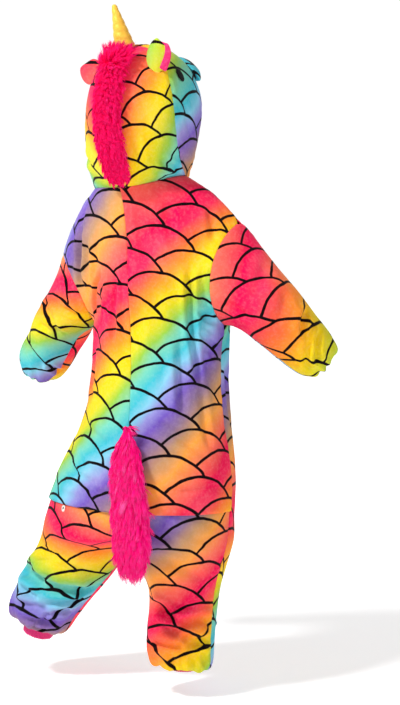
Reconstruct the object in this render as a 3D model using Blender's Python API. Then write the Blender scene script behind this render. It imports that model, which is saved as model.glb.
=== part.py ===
"""A child's unicorn onesie, as it hangs when worn: a hollow cloth suit with hood, horn, mane and tail.

Units are metres and +Z is up. The front of the suit faces -Y and the wearer's left is +X.
The origin lies between the wearer's shoulders, at the foot of the neck.
"""

import math
from collections import namedtuple

import bmesh
import bpy
from mathutils import Matrix, Vector
from mathutils.bvhtree import BVHTree

# Driving dimensions
CLOTH = 0.0022
SEAM_GAP = 0.0003
ARMHOLE_GAP = 0.0008
COLUMNS = 10
ROUND = 0.5523
HALF_ROUND = 1.333

# Rows of the body, from the neck seam to the leg's gathered end. `steps` is the number of strips
# down to the next row. `turn` swings the middle handle from sideways, on the body, to fore and
# aft, on a leg. `flat` opens the outer end of the row towards the sleeve.
Row = namedtuple("Row", "name steps turn flat")
ROWS = (
    Row("neck", 2, 0.0, 0.10),
    Row("shoulder", 2, 0.0, 0.20),
    Row("sleeve_top", 4, 0.0, 0.32),
    Row("sleeve_upper", 3, 0.0, 0.82),
    Row("sleeve_lower", 3, 0.0, 0.70),
    Row("armpit", 2, 0.0, 0.15),
    Row("chest", 2, 0.0, 0.0),
    Row("waist", 2, 0.0, 0.0),
    Row("belly", 2, 0.0, 0.0),
    Row("hip", 2, 0.0, 0.0),
    Row("hem", 2, 0.0, 0.0),
    Row("rise", 2, 0.45, 0.0),
    Row("crotch", 3, 0.72, 0.0),
    Row("knee", 3, 1.0, 0.0),
    Row("calf", 2, 1.0, 0.0),
    Row("roll", 2, 1.0, 0.0),
    Row("ankle", 0, 1.0, 0.0),
)

# The middle of the back and of the front. Below the rise these two lines meet as the inseam.
Middle = namedtuple("Middle", "row x y z")
BACK_MIDDLE = (
    Middle("neck", 0.010, 0.085, 0.000),
    Middle("shoulder", 0.006, 0.080, -0.035),
    Middle("sleeve_top", 0.002, 0.077, -0.080),
    Middle("sleeve_upper", 0.001, 0.077, -0.128),
    Middle("sleeve_lower", 0.000, 0.076, -0.178),
    Middle("armpit", -0.002, 0.073, -0.228),
    Middle("chest", -0.003, 0.072, -0.275),
    Middle("waist", -0.004, 0.075, -0.335),
    Middle("belly", -0.006, 0.084, -0.400),
    Middle("hip", -0.010, 0.091, -0.470),
    Middle("hem", -0.006, 0.092, -0.553),
    Middle("rise", 0.020, 0.058, -0.602),
    Middle("crotch", 0.044, -0.026, -0.624),
)
FRONT_MIDDLE = (
    Middle("neck", 0.010, -0.060, -0.030),
    Middle("shoulder", 0.008, -0.088, -0.062),
    Middle("sleeve_top", 0.006, -0.106, -0.100),
    Middle("sleeve_upper", 0.004, -0.120, -0.140),
    Middle("sleeve_lower", 0.002, -0.132, -0.185),
    Middle("armpit", 0.001, -0.140, -0.235),
    Middle("chest", 0.001, -0.145, -0.280),
    Middle("waist", 0.002, -0.148, -0.340),
    Middle("belly", 0.006, -0.148, -0.405),
    Middle("hip", 0.014, -0.146, -0.475),
    Middle("hem", 0.026, -0.140, -0.560),
    Middle("rise", 0.030, -0.108, -0.605),
    Middle("crotch", 0.044, -0.026, -0.624),
)

# The inseam of each leg below the crotch, with the leg's half depth there.
LEFT_INSEAM = (
    Middle("knee", 0.112, -0.024, -0.702),
    Middle("calf", 0.166, -0.018, -0.764),
    Middle("roll", 0.192, -0.014, -0.802),
    Middle("ankle", 0.213, -0.012, -0.792),
)
RIGHT_INSEAM = (
    Middle("knee", 0.004, -0.024, -0.700),
    Middle("calf", 0.010, -0.018, -0.770),
    Middle("roll", 0.006, -0.014, -0.826),
    Middle("ankle", -0.028, -0.012, -0.820),
)
LEG_DEPTH = {"crotch": 0.120, "knee": 0.068, "calf": 0.060, "roll": 0.046, "ankle": 0.030}

# The outer edge of the body, shared by the front and the back panel: shoulder seam, then side seam.
# Between sleeve_top and armpit the edge is the armhole, an ellipse that bows to the back and front.
LEFT_EDGE = (
    Middle("neck", 0.097, 0.012, 0.002),
    Middle("shoulder", 0.152, -0.010, -0.046),
    Middle("sleeve_top", 0.199, -0.030, -0.110),
    Middle("armpit", 0.130, -0.036, -0.240),
    Middle("chest", 0.122, -0.037, -0.280),
    Middle("waist", 0.127, -0.036, -0.340),
    Middle("belly", 0.143, -0.034, -0.402),
    Middle("hip", 0.172, -0.033, -0.470),
    Middle("hem", 0.211, -0.031, -0.548),
    Middle("rise", 0.222, -0.030, -0.590),
    Middle("crotch", 0.227, -0.028, -0.618),
    Middle("knee", 0.255, -0.024, -0.666),
    Middle("calf", 0.286, -0.018, -0.716),
    Middle("roll", 0.302, -0.014, -0.756),
    Middle("ankle", 0.266, -0.012, -0.774),
)
RIGHT_EDGE = (
    Middle("neck", -0.075, 0.006, 0.022),
    Middle("shoulder", -0.122, -0.012, -0.010),
    Middle("sleeve_top", -0.160, -0.032, -0.056),
    Middle("armpit", -0.130, -0.036, -0.238),
    Middle("chest", -0.122, -0.037, -0.280),
    Middle("waist", -0.122, -0.036, -0.340),
    Middle("belly", -0.128, -0.034, -0.402),
    Middle("hip", -0.138, -0.033, -0.472),
    Middle("hem", -0.140, -0.031, -0.555),
    Middle("rise", -0.138, -0.030, -0.604),
    Middle("crotch", -0.132, -0.028, -0.632),
    Middle("knee", -0.116, -0.024, -0.692),
    Middle("calf", -0.112, -0.018, -0.768),
    Middle("roll", -0.110, -0.014, -0.834),
    Middle("ankle", -0.084, -0.012, -0.825),
)
Bow = namedtuple("Bow", "side face x y")
ARMHOLE_BOWS = (
    Bow("left", "back", -0.030, 0.056),
    Bow("left", "front", 0.018, -0.056),
    Bow("right", "back", 0.012, 0.064),
    Bow("right", "front", -0.018, -0.062),
)

# The back panel blouses out over the seat near its free hem.
BLOUSE_RISE = 0.0065
BLOUSE_HEM = 0.0046
SEAT_UNDERLAP_ROWS = 1

# Sleeve sections from the armhole to the wrist: centre, half height and half depth.
Section = namedtuple("Section", "steps x y z high deep")
LEFT_SLEEVE = (
    Section(3, 0.172, -0.033, -0.176, 0.0, 0.0),
    Section(3, 0.203, -0.044, -0.232, 0.050, 0.055),
    Section(2, 0.241, -0.060, -0.278, 0.048, 0.049),
    Section(2, 0.268, -0.070, -0.307, 0.046, 0.047),
    Section(1, 0.279, -0.077, -0.328, 0.034, 0.034),
    Section(0, 0.282, -0.078, -0.332, 0.027, 0.027),
)
RIGHT_SLEEVE = (
    Section(3, -0.150, -0.032, -0.146, 0.0, 0.0),
    Section(3, -0.196, -0.056, -0.200, 0.060, 0.055),
    Section(2, -0.233, -0.101, -0.254, 0.051, 0.050),
    Section(2, -0.254, -0.128, -0.286, 0.045, 0.044),
    Section(1, -0.263, -0.141, -0.299, 0.034, 0.034),
    Section(0, -0.263, -0.141, -0.299, 0.025, 0.025),
)
WRIST_GATHERS = 10
ANKLE_GATHERS = 10
GATHER_DEPTH = 0.0016

# Half hoops of the hood, from the face edge over the crown to the nape. They stand on the neckline,
# one strip apart: the first half on the front of it, the second half on the back. Each is given in
# the head's own frame by its top (y, z), its widest point halfway down, and how far it runs
# sideways from the top.
HEAD_CENTRE = Vector((-0.007, 0.0214, 0.0))
HEAD_TURN = math.radians(-8)
Hoop = namedtuple("Hoop", "steps y z wide back high reach")
HOOPS = (
    Hoop(3, -0.088, 0.203, 0.064, -0.072, 0.114, 0.092),
    Hoop(3, -0.052, 0.232, 0.080, -0.044, 0.132, 0.110),
    Hoop(4, -0.012, 0.245, 0.089, -0.006, 0.146, 0.118),
    Hoop(3, 0.036, 0.242, 0.091, 0.046, 0.148, 0.116),
    Hoop(3, 0.086, 0.213, 0.076, 0.072, 0.126, 0.088),
    Hoop(2, 0.116, 0.146, 0.050, 0.096, 0.087, 0.052),
    Hoop(2, 0.110, 0.076, 0.030, 0.095, 0.046, 0.030),
    Hoop(0, 0.0, 0.0, 0.0, 0.0, 0.0, 0.0),
)
NAPE = Vector((0.010, 0.085, 0.000))
FACE_SEAM_ROW = 10

# Troughs and ridges that show from a step away: ends, half width and depth (a ridge is positive).
Fold = namedtuple("Fold", "on start end wide deep")
FOLDS = (
    Fold("body", (-0.060, 0.080, -0.120), (-0.066, 0.074, -0.400), 0.020, 0.0050),
    Fold("body", (-0.090, 0.060, -0.160), (-0.092, 0.062, -0.430), 0.016, -0.0055),
    Fold("body", (0.050, 0.070, -0.110), (0.056, 0.066, -0.330), 0.018, 0.0045),
    Fold("body", (0.088, 0.045, -0.130), (0.092, 0.042, -0.300), 0.015, -0.0050),
    Fold("body", (0.150, 0.010, -0.075), (0.118, 0.030, -0.215), 0.014, -0.0045),
    Fold("body", (-0.115, 0.010, -0.270), (-0.124, 0.020, -0.500), 0.018, 0.0040),
    Fold("body", (0.126, 0.010, -0.330), (0.120, 0.070, -0.470), 0.018, -0.0040),
    Fold("body", (-0.050, -0.136, -0.150), (-0.060, -0.130, -0.460), 0.020, 0.0050),
    Fold("body", (0.060, -0.132, -0.150), (0.072, -0.126, -0.460), 0.020, 0.0050),
    Fold("body", (0.245, 0.020, -0.650), (0.140, 0.045, -0.708), 0.013, 0.0060),
    Fold("body", (0.256, 0.010, -0.694), (0.170, 0.040, -0.742), 0.012, -0.0060),
    Fold("body", (0.262, 0.010, -0.728), (0.160, 0.036, -0.764), 0.012, 0.0050),
    Fold("body", (-0.118, 0.010, -0.722), (0.010, 0.030, -0.726), 0.013, 0.0060),
    Fold("body", (-0.116, 0.010, -0.752), (0.014, 0.040, -0.744), 0.010, -0.0055),
    Fold("body", (-0.114, -0.050, -0.722), (0.010, -0.070, -0.730), 0.013, 0.0050),
    Fold("body", (0.240, -0.060, -0.668), (0.140, -0.085, -0.712), 0.013, 0.0050),
    Fold("sleeve_left", (0.232, -0.040, -0.250), (0.200, -0.010, -0.280), 0.013, -0.0050),
    Fold("sleeve_left", (0.262, -0.050, -0.292), (0.222, -0.040, -0.318), 0.011, -0.0045),
    Fold("sleeve_right", (-0.240, -0.100, -0.208), (-0.212, -0.110, -0.272), 0.012, -0.0045),
    Fold("sleeve_right", (-0.256, -0.124, -0.248), (-0.226, -0.138, -0.300), 0.012, -0.0050),
    Fold("hood", (-0.030, 0.105, 0.045), (-0.090, 0.040, 0.030), 0.014, 0.0050),
    Fold("hood", (0.050, 0.100, 0.045), (0.105, 0.045, 0.030), 0.014, 0.0050),
)

# What stands on the hood keeps this far off it.
REST = 0.0006

HORN_ROW = 11.1
HORN_LENGTH = 0.075
HORN_ROOT = 0.0190
HORN_TIP = 0.0050
HORN_TURNS = 5
HORN_GROOVE = 0.0026
HORN_LEAN = Vector((0.10, 0.26, 1.0))
HORN_SIDES = 14
HORN_RINGS = 24

Ear = namedtuple("Ear", "row across high wide lean spread")
EARS = {
    "left": Ear(11.0, 0.28, 0.037, 0.044, (1.0, 0.18, 0.12), (0.1, -0.5, 1.0)),
    "right": Ear(11.0, 0.29, 0.053, 0.042, (0.22, 0.02, 1.0), (1.0, -0.30, 0.0)),
}
EAR_CUP = 0.010
EAR_LINING = 0.0014
EAR_LINED = (0.12, 0.88, 0.76)
EAR_ROWS = 7
EAR_COLUMNS = 6

MANE_START = 12.7
MANE_END = 19.7
MANE_RINGS = 16
MANE_WIDE = 0.027
MANE_HIGH = 0.022

TAIL_ROOT = Vector((-0.015, 0.1055, -0.398))
TAIL_END = Vector((-0.036, 0.126, -0.652))
TAIL_SWING = 0.010
TAIL_SIDES = 12
TAIL_SECTIONS = (
    (0.00, 0.004, 0.003),
    (0.05, 0.013, 0.007),
    (0.14, 0.026, 0.012),
    (0.26, 0.032, 0.016),
    (0.42, 0.034, 0.018),
    (0.58, 0.036, 0.019),
    (0.74, 0.037, 0.019),
    (0.88, 0.034, 0.017),
    (0.97, 0.025, 0.012),
    (1.00, 0.013, 0.006),
)

EYE_ROW = 7.7
EYE_ACROSS = 0.37
EYE_WIDE = 0.0072
EYE_HIGH = 0.0130
EYE_TILT = 0.30
EYE_THICK = 0.0014

MUZZLE_ROW = 1.9
MUZZLE_ROWS = 1.85
MUZZLE_ACROSS = 0.22
MUZZLE_HIGH = 0.026
MUZZLE_RAISE = 0.35
MUZZLE_SIDES = 16
DISC_SIDES = 12

CUFF_WALL = 0.0024
CUFF_START = 0.0004
CUFF_LENGTH = {"left": 0.020, "right": 0.011}
CUFF_SPLAY = {"left": 0.18, "right": 0.0}

PLACKET_ROWS = (1, 24)
PLACKET_WIDE = 0.026
PLACKET_THICK = 0.0018
FRONT_BUTTONS = 5
BUTTON_RADIUS = 0.0085
BUTTON_THICK = 0.0026
SNAP_RADIUS = 0.0055
SNAP_ABOVE_HEM = 0.18
SNAP_U = 0.56

PRINT = (0.95, 0.42, 0.22)
PINK = (0.90, 0.02, 0.30)
GOLD = (0.95, 0.70, 0.16)
BLACK = (0.015, 0.015, 0.02)
PEARL = (0.90, 0.88, 0.84)


class Line:
    """A smooth line through table rows, with a corner at each row named in `corners`."""

    def __init__(self, knots, values, corners=()):
        self.knots = knots
        self.values = values
        self.corners = set(corners)

    def slope(self, i, span):
        """The slope at knot i, read by the span that starts at knot `span`."""
        last = len(self.knots) - 1
        low = i if i == 0 or (self.knots[i] in self.corners and i == span) else i - 1
        high = i if i == last or (self.knots[i] in self.corners and i != span) else i + 1
        return (self.values[high] - self.values[low]) / (self.knots[high] - self.knots[low])

    def at(self, t):
        i = 0
        while i < len(self.knots) - 2 and t > self.knots[i + 1]:
            i += 1
        width = self.knots[i + 1] - self.knots[i]
        s = (t - self.knots[i]) / width
        first, second = self.values[i], self.values[i + 1]
        rise, fall = self.slope(i, i) * width, self.slope(i + 1, i) * width
        return (
            first * (2 * s**3 - 3 * s**2 + 1)
            + rise * (s**3 - 2 * s**2 + s)
            + second * (3 * s**2 - 2 * s**3)
            + fall * (s**3 - s**2)
        )


def row_positions(table):
    """Where each row of a table starts, counted in strips from its first row."""
    places, count = [], 0
    for row in table:
        places.append(count)
        count += row.steps
    return places


ROW_AT = dict(zip([row.name for row in ROWS], row_positions(ROWS)))
LAST_ROW = ROW_AT["ankle"]
HOOP_AT = row_positions(HOOPS)
TURN = Line(list(ROW_AT.values()), [row.turn for row in ROWS])
FLAT = Line(list(ROW_AT.values()), [row.flat for row in ROWS])
DEPTH = Line([ROW_AT[name] for name in LEG_DEPTH], list(LEG_DEPTH.values()))


def line_of(table, corners=()):
    knots = [ROW_AT[row.row] for row in table]
    points = [Vector((row.x, row.y, row.z)) for row in table]
    return Line(knots, points, [ROW_AT[name] for name in corners])


MIDDLES = {
    ("left", "back"): line_of(BACK_MIDDLE + LEFT_INSEAM, ["crotch"]),
    ("right", "back"): line_of(BACK_MIDDLE + RIGHT_INSEAM, ["crotch"]),
    ("left", "front"): line_of(FRONT_MIDDLE + LEFT_INSEAM, ["crotch"]),
    ("right", "front"): line_of(FRONT_MIDDLE + RIGHT_INSEAM, ["crotch"]),
}
EDGES = {
    "left": line_of(LEFT_EDGE, ["sleeve_top", "armpit"]),
    "right": line_of(RIGHT_EDGE, ["sleeve_top", "armpit"]),
}
BOWS = {(bow.side, bow.face): Vector((bow.x, bow.y, 0.0)) for bow in ARMHOLE_BOWS}
TOWARDS = {"left": 1.0, "right": -1.0, "back": 1.0, "front": -1.0}


def bezier(start, first, second, end, t):
    s = 1.0 - t
    return start * s**3 + first * 3 * s * s * t + second * 3 * s * t * t + end * t**3


def bump(x):
    """1 at 0, falling smoothly to 0 at 1 and beyond."""
    return 0.5 + 0.5 * math.cos(math.pi * min(1.0, abs(x)))


def edge_point(side, face, row):
    """The outer edge of a body panel: shoulder seam, armhole, side seam."""
    top, armpit = ROW_AT["sleeve_top"], ROW_AT["armpit"]
    if not top < row < armpit:
        return EDGES[side].at(row)
    share = (row - top) / (armpit - top)
    angle = math.pi * share
    start, end = EDGES[side].at(top), EDGES[side].at(armpit)
    down = 0.4 * share + 0.6 * (0.5 - 0.5 * math.cos(angle))
    return start.lerp(end, down) + BOWS[side, face] * math.sin(angle)


def gather(row, u, side, face):
    """Small waves of the leg's end, where it is drawn in to the ankle."""
    near = max(0.0, (row - ROW_AT["calf"]) / (LAST_ROW - ROW_AT["calf"]))
    return GATHER_DEPTH * near**2 * math.cos(math.tau * ANKLE_GATHERS * 0.5 * u)


def body_point(side, face, row, u):
    """A point of the body: u runs from the middle, or the inseam, to the outer edge."""
    middle = MIDDLES[side, face].at(row)
    edge = edge_point(side, face, row)
    across, along = TOWARDS[side], TOWARDS[face]
    turn = max(0.0, min(1.0, TURN.at(row)))
    flat = max(0.0, FLAT.at(row))
    half_width = abs(edge.x - middle.x)
    half_depth = abs(edge.y - middle.y)
    leg_depth = DEPTH.at(max(row, ROW_AT["crotch"]))
    side_reach = Vector((across * ROUND * half_width, 0, 0))
    leg_reach = Vector((0, along * HALF_ROUND * leg_depth, 0))
    body_reach = Vector((0, along * ROUND * half_depth, 0))
    sleeve_reach = Vector((-across * 0.45 * half_width, 0, 0))
    first = side_reach.lerp(leg_reach, turn)
    second = body_reach.lerp(leg_reach, turn).lerp(sleeve_reach, flat)
    point = bezier(middle, middle + first, edge + second, edge, u)
    if row > ROW_AT["calf"]:
        outward = Vector((point.x, point.y, 0)) - Vector(((middle.x + edge.x) / 2, middle.y, 0))
        point += outward.normalized() * gather(row, u, side, face)
    return point


def body_grid(side, face):
    rows = range(LAST_ROW + 1)
    return [[body_point(side, face, r, c / COLUMNS) for c in range(COLUMNS + 1)] for r in rows]


def armhole(side):
    """The armhole as a closed ring: down the back from the sleeve top, up the front."""
    top, armpit = ROW_AT["sleeve_top"], ROW_AT["armpit"]
    back = [edge_point(side, "back", row) for row in range(top, armpit + 1)]
    front = [edge_point(side, "front", row) for row in range(armpit - 1, top, -1)]
    return back + front


def sleeve_grid(side, sections):
    """Rings from the armhole to the wrist, each with its first point on top of the arm."""
    ring = armhole(side)
    centres = [Vector((s.x, s.y, s.z)) for s in sections]
    rings = [ring]
    for i, section in enumerate(sections[1:], 1):
        last = len(centres) - 2
        ahead = centres[min(i + 1, last)] - centres[min(i, last) - 1]
        rings.append(sleeve_ring(centres[i], ahead, section, len(ring)))
    places = row_positions(sections)
    lines = [Line(places, [r[k] for r in rings]) for k in range(len(ring))]
    grid = [[line.at(t) for line in lines] for t in range(places[-1] + 1)]
    return add_wrist_gathers(grid, centres[-1])


def sleeve_ring(centre, axis, section, count):
    axis = axis.normalized()
    up = (Vector((0, 0, 1)) - axis * axis.z).normalized()
    back = Vector((0, 1, 0))
    back = (back - axis * back.dot(axis) - up * back.dot(up)).normalized()
    points = []
    for k in range(count):
        angle = math.tau * k / count
        points.append(
            centre + up * section.high * math.cos(angle) + back * section.deep * math.sin(angle)
        )
    return points


def add_wrist_gathers(grid, centre):
    """The last three rings wave in and out where elastic draws them in."""
    for back, share in ((1, 1.0), (2, 0.9), (3, 0.45)):
        ring = grid[-back]
        for k, point in enumerate(ring):
            wave = math.cos(math.tau * WRIST_GATHERS * k / len(ring))
            ring[k] = point + (point - centre).normalized() * GATHER_DEPTH * share * wave
    return grid


def from_head(side, x, y, z):
    """A point of the head's own frame, mirrored for the right side, in the suit's frame."""
    turned = Matrix.Rotation(HEAD_TURN, 3, "Z") @ Vector((TOWARDS[side] * x, y, 0))
    return HEAD_CENTRE + turned + Vector((0, 0, z))


class Hood:
    """Half of the hood's surface. `row` counts strips back from the face edge, and u runs from the
    neckline, 0, to the middle of the head, 1."""

    def __init__(self, side):
        self.side = side
        front = [body_point(side, "front", 0, c / COLUMNS) for c in range(COLUMNS + 1)]
        back = [body_point(side, "back", 0, 1 - c / COLUMNS) for c in range(1, COLUMNS + 1)]
        self.neckline = Line(list(range(len(front + back))), front + back, [COLUMNS])
        tops = [from_head(side, 0, h.y, h.z) for h in HOOPS[:-1]]
        sides = [from_head(side, h.wide, h.back, h.high) for h in HOOPS[:-1]]
        self.top = Line(HOOP_AT, tops + [NAPE])
        self.middle = Line(HOOP_AT, sides + [NAPE])
        self.reach = Line(HOOP_AT, [hoop.reach for hoop in HOOPS])

    def at(self, row, u):
        foot = self.neckline.at(row)
        top = self.top.at(row)
        sideways = from_head(self.side, 1, 0, 0) - from_head(self.side, 0, 0, 0)
        second = top + sideways * self.reach.at(row)
        first = (self.middle.at(row) - (foot + top) / 8 - second * 0.375) / 0.375
        return bezier(foot, first, second, top, u)

    def grid(self):
        rows = range(HOOP_AT[-1] + 1)
        return [[self.at(r, c / COLUMNS) for c in range(COLUMNS + 1)] for r in rows]


HOODS = {side: Hood(side) for side in ("left", "right")}


def hood_point(row, across):
    """A point of the whole hood: across runs from -1, right neckline, over 0, to 1, left neckline."""
    side = "left" if across >= 0 else "right"
    return HOODS[side].at(row, 1 - abs(across))


def hood_normal(row, across):
    step = 0.02
    along = hood_point(row + step, across) - hood_point(row - step, across)
    over = hood_point(row, across + step) - hood_point(row, across - step)
    return over.cross(along).normalized()


def key(point):
    return tuple(round(c * 20000) for c in point)


def quads(grid, wrap):
    """The corner indices of each quad of a grid."""
    columns = len(grid[0])
    for r in range(len(grid) - 1):
        for c in range(columns if wrap else columns - 1):
            yield (r, c), (r + 1, c), (r + 1, (c + 1) % columns), (r, (c + 1) % columns)


def shared_normals(grids):
    """Outward normals, averaged over every panel that meets at a point."""
    sums = {}
    for name, (grid, outward, wrap) in grids.items():
        for corners in quads(grid, wrap):
            a, b, c, d = (grid[i][j] for i, j in corners)
            normal = (c - a).cross(d - b) * outward
            for point in (a, b, c, d):
                sums[key(point)] = sums.get(key(point), Vector()) + normal
    return {place: normal.normalized() for place, normal in sums.items()}


def fold_height(point, where):
    """How far folds move a point of the cloth outwards."""
    height = 0.0
    for fold in FOLDS:
        if fold.on != where:
            continue
        start, end = Vector(fold.start), Vector(fold.end)
        line = end - start
        t = max(0.0, min(1.0, (point - start).dot(line) / line.length_squared))
        away = (point - start - line * t).length
        taper = 1 - bump(min(t, 1 - t) * 4)
        height += fold.deep * bump(away / (fold.wide * 1.6)) * taper
    return height


def fold_place(name):
    return name if name.startswith("sleeve") else name.split("_")[0]


def blouse(row, u, face):
    """How far the body stands out over the seat, above its free hem."""
    hem = ROW_AT["hem"]
    if row > hem:
        rise = 0.0
    elif row == hem:
        rise = BLOUSE_HEM
    else:
        rise = BLOUSE_RISE * bump((hem - 1 - row) / 3)
    if face == "back":
        return rise
    return rise * bump((1 - u) * 2.5)


def all_grids():
    """Every cloth surface as (points, sign of its outward side, whether it closes round)."""
    grids = {}
    for side in ("left", "right"):
        for face in ("back", "front"):
            sign = -TOWARDS[side] * TOWARDS[face]
            grids[f"body_{face}_{side}"] = (body_grid(side, face), sign, False)
        grids[f"hood_{side}"] = (HOODS[side].grid(), TOWARDS[side], False)
    grids["sleeve_left"] = (sleeve_grid("left", LEFT_SLEEVE), 1.0, True)
    grids["sleeve_right"] = (sleeve_grid("right", RIGHT_SLEEVE), -1.0, True)
    return grids


def folded(grids):
    """The same surfaces with their folds. Panels that share a point move it alike."""
    normals = shared_normals(grids)
    heights = {}
    for name, (grid, outward, wrap) in grids.items():
        for row in grid:
            for p in row:
                heights.setdefault(key(p), []).append(fold_height(p, fold_place(name)))
    moves = {k: normals[k] * sum(found) / len(found) for k, found in heights.items()}
    made = {}
    for name, (grid, outward, wrap) in grids.items():
        made[name] = ([[p + moves[key(p)] for p in row] for row in grid], outward, wrap)
    return made


def trimmed(outer, inner, wrap):
    """Pulls the rim of a panel back by half the seam gap, so that neighbours stay apart."""
    rows, columns = len(outer), len(outer[0])
    for layer in (outer, inner):
        before = [list(row) for row in layer]
        for c in range(columns):
            for edge, inside in ((0, 1), (rows - 1, rows - 2)):
                pull = ARMHOLE_GAP if wrap and edge == 0 else SEAM_GAP / 2
                step = before[inside][c] - before[edge][c]
                layer[edge][c] = layer[edge][c] + step.normalized() * pull
        if not wrap:
            for r in range(rows):
                for edge, inside in ((0, 1), (columns - 1, columns - 2)):
                    step = before[r][inside] - before[r][edge]
                    layer[r][edge] = layer[r][edge] + step.normalized() * SEAM_GAP / 2
        if (before[-1][0] - before[-1][-1]).length < 1e-6:
            step = sum(before[-2], Vector()) / columns - before[-1][0]
            layer[-1] = [before[-1][0] + step.normalized() * SEAM_GAP] * columns
    return outer, inner


def material(name, colour, roughness):
    made = bpy.data.materials.get(name) or bpy.data.materials.new(name)
    made.use_nodes = True
    shader = made.node_tree.nodes["Principled BSDF"]
    shader.inputs["Base Color"].default_value = (*colour, 1.0)
    shader.inputs["Roughness"].default_value = roughness
    shader.inputs["Metallic"].default_value = 0.0
    return made


def finish(name, bm, look):
    """Turns a closed bmesh into the named object."""
    bmesh.ops.remove_doubles(bm, verts=bm.verts, dist=1e-6)
    bmesh.ops.dissolve_degenerate(bm, edges=bm.edges, dist=1e-6)
    bmesh.ops.recalc_face_normals(bm, faces=bm.faces)
    mesh = bpy.data.meshes.new(name)
    bm.to_mesh(mesh)
    bm.free()
    mesh.shade_smooth()
    mesh.set_sharp_from_angle(angle=math.radians(50))
    mesh.materials.append(look)
    obj = bpy.data.objects.new(name, mesh)
    bpy.context.scene.collection.objects.link(obj)
    return obj


def closed_wall(name, outer, inner, wrap, look):
    """A closed solid between two grids of the same size."""
    bm = bmesh.new()
    rows, columns = len(outer), len(outer[0])
    layers = [[[bm.verts.new(p) for p in row] for row in layer] for layer in (outer, inner)]
    for corners in quads(outer, wrap):
        for layer in layers:
            bm.faces.new([layer[i][j] for i, j in corners])
    top, bottom = layers
    for r in (0, rows - 1):
        for c in range(columns if wrap else columns - 1):
            d = (c + 1) % columns
            bm.faces.new((top[r][c], top[r][d], bottom[r][d], bottom[r][c]))
    if not wrap:
        for c in (0, columns - 1):
            for r in range(rows - 1):
                bm.faces.new((top[r][c], top[r + 1][c], bottom[r + 1][c], bottom[r][c]))
    return finish(name, bm, look)


def cloth_panel(name, surface, normals, rows, look, lift=None):
    """Cuts one panel from a surface, by rows, and gives it the cloth's thickness inwards."""
    grid, outward, wrap = surface
    first, last = rows
    outer, inner = [], []
    for r in range(first, last + 1):
        up = lift or (lambda row, column: 0.0)
        shown = [p + normals[key(p)] * up(r, c) for c, p in enumerate(grid[r])]
        outer.append(shown)
        inner.append([q - normals[key(p)] * CLOTH for p, q in zip(grid[r], shown)])
    trimmed(outer, inner, wrap)
    return closed_wall(name, outer, inner, wrap, look)


def make_body(grids, normals, look):
    hem = ROW_AT["hem"]
    for side in ("left", "right"):
        back = grids[f"body_back_{side}"]
        front = grids[f"body_front_{side}"]
        cloth_panel(
            f"back_{side}", back, normals, (0, hem), look,
            lambda r, c: blouse(r, c / COLUMNS, "back"),
        )
        cloth_panel(f"seat_{side}", back, normals, (hem - SEAT_UNDERLAP_ROWS, LAST_ROW), look)
        cloth_panel(
            f"front_{side}", front, normals, (0, LAST_ROW), look,
            lambda r, c: blouse(r, c / COLUMNS, "front"),
        )
        sleeve = grids[f"sleeve_{side}"]
        cloth_panel(f"sleeve_{side}", sleeve, normals, (0, len(sleeve[0]) - 1), look)


def make_hood(grids, normals, look):
    for side in ("left", "right"):
        hood = grids[f"hood_{side}"]
        cloth_panel(f"face_{side}", hood, normals, (0, FACE_SEAM_ROW), look)
        cloth_panel(f"hood_{side}", hood, normals, (FACE_SEAM_ROW, HOOP_AT[-1]), look)


def loft(name, rings, look):
    """A closed solid through rings of equal count, with a fan over each end."""
    bm = bmesh.new()
    layers = [[bm.verts.new(p) for p in ring] for ring in rings]
    count = len(rings[0])
    for lower, upper in zip(layers, layers[1:]):
        for k in range(count):
            j = (k + 1) % count
            bm.faces.new((lower[k], lower[j], upper[j], upper[k]))
    for layer, ring in ((layers[0], rings[0]), (layers[-1], rings[-1])):
        centre = bm.verts.new(sum(ring, Vector()) / count)
        for k in range(count):
            bm.faces.new((layer[k], layer[(k + 1) % count], centre))
    return finish(name, bm, look)


def surface_tree(grids, names):
    """The outer faces of some surfaces, to rest pieces on."""
    points, faces = [], []
    for name in names:
        grid, outward, wrap = grids[name]
        start, columns = len(points), len(grid[0])
        points.extend(p for row in grid for p in row)
        for corners in quads(grid, wrap):
            a, b, c, d = (start + i * columns + j for i, j in corners)
            faces.extend(((a, b, c), (a, c, d)) if outward > 0 else ((a, c, b), (a, d, c)))
    return BVHTree.FromPolygons(points, faces)


def rested(tree, point, gap):
    """The point moved to stand just clear of the surface nearest to it."""
    place, normal, index, distance = tree.find_nearest(point)
    return place + normal * gap


def disc(name, tree, centre, across, up, radii, thick, look, spin=0.0):
    """A flat round or oval piece that follows the surface under it."""
    normal = across.cross(up).normalized()
    rings = []
    for share, height in (
        (0.02, 0.0), (0.55, 0.0), (1.0, 0.0), (1.0, 0.6), (0.82, 1.0), (0.02, 1.0),
    ):
        ring = []
        for k in range(DISC_SIDES):
            angle = math.tau * k / DISC_SIDES
            x, y = radii[0] * share * math.cos(angle), radii[1] * share * math.sin(angle)
            x, y = x * math.cos(spin) - y * math.sin(spin), x * math.sin(spin) + y * math.cos(spin)
            foot = rested(tree, centre + across * x + up * y, REST)
            ring.append(foot + normal * thick * height)
        rings.append(ring)
    return loft(name, rings, look)


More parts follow.
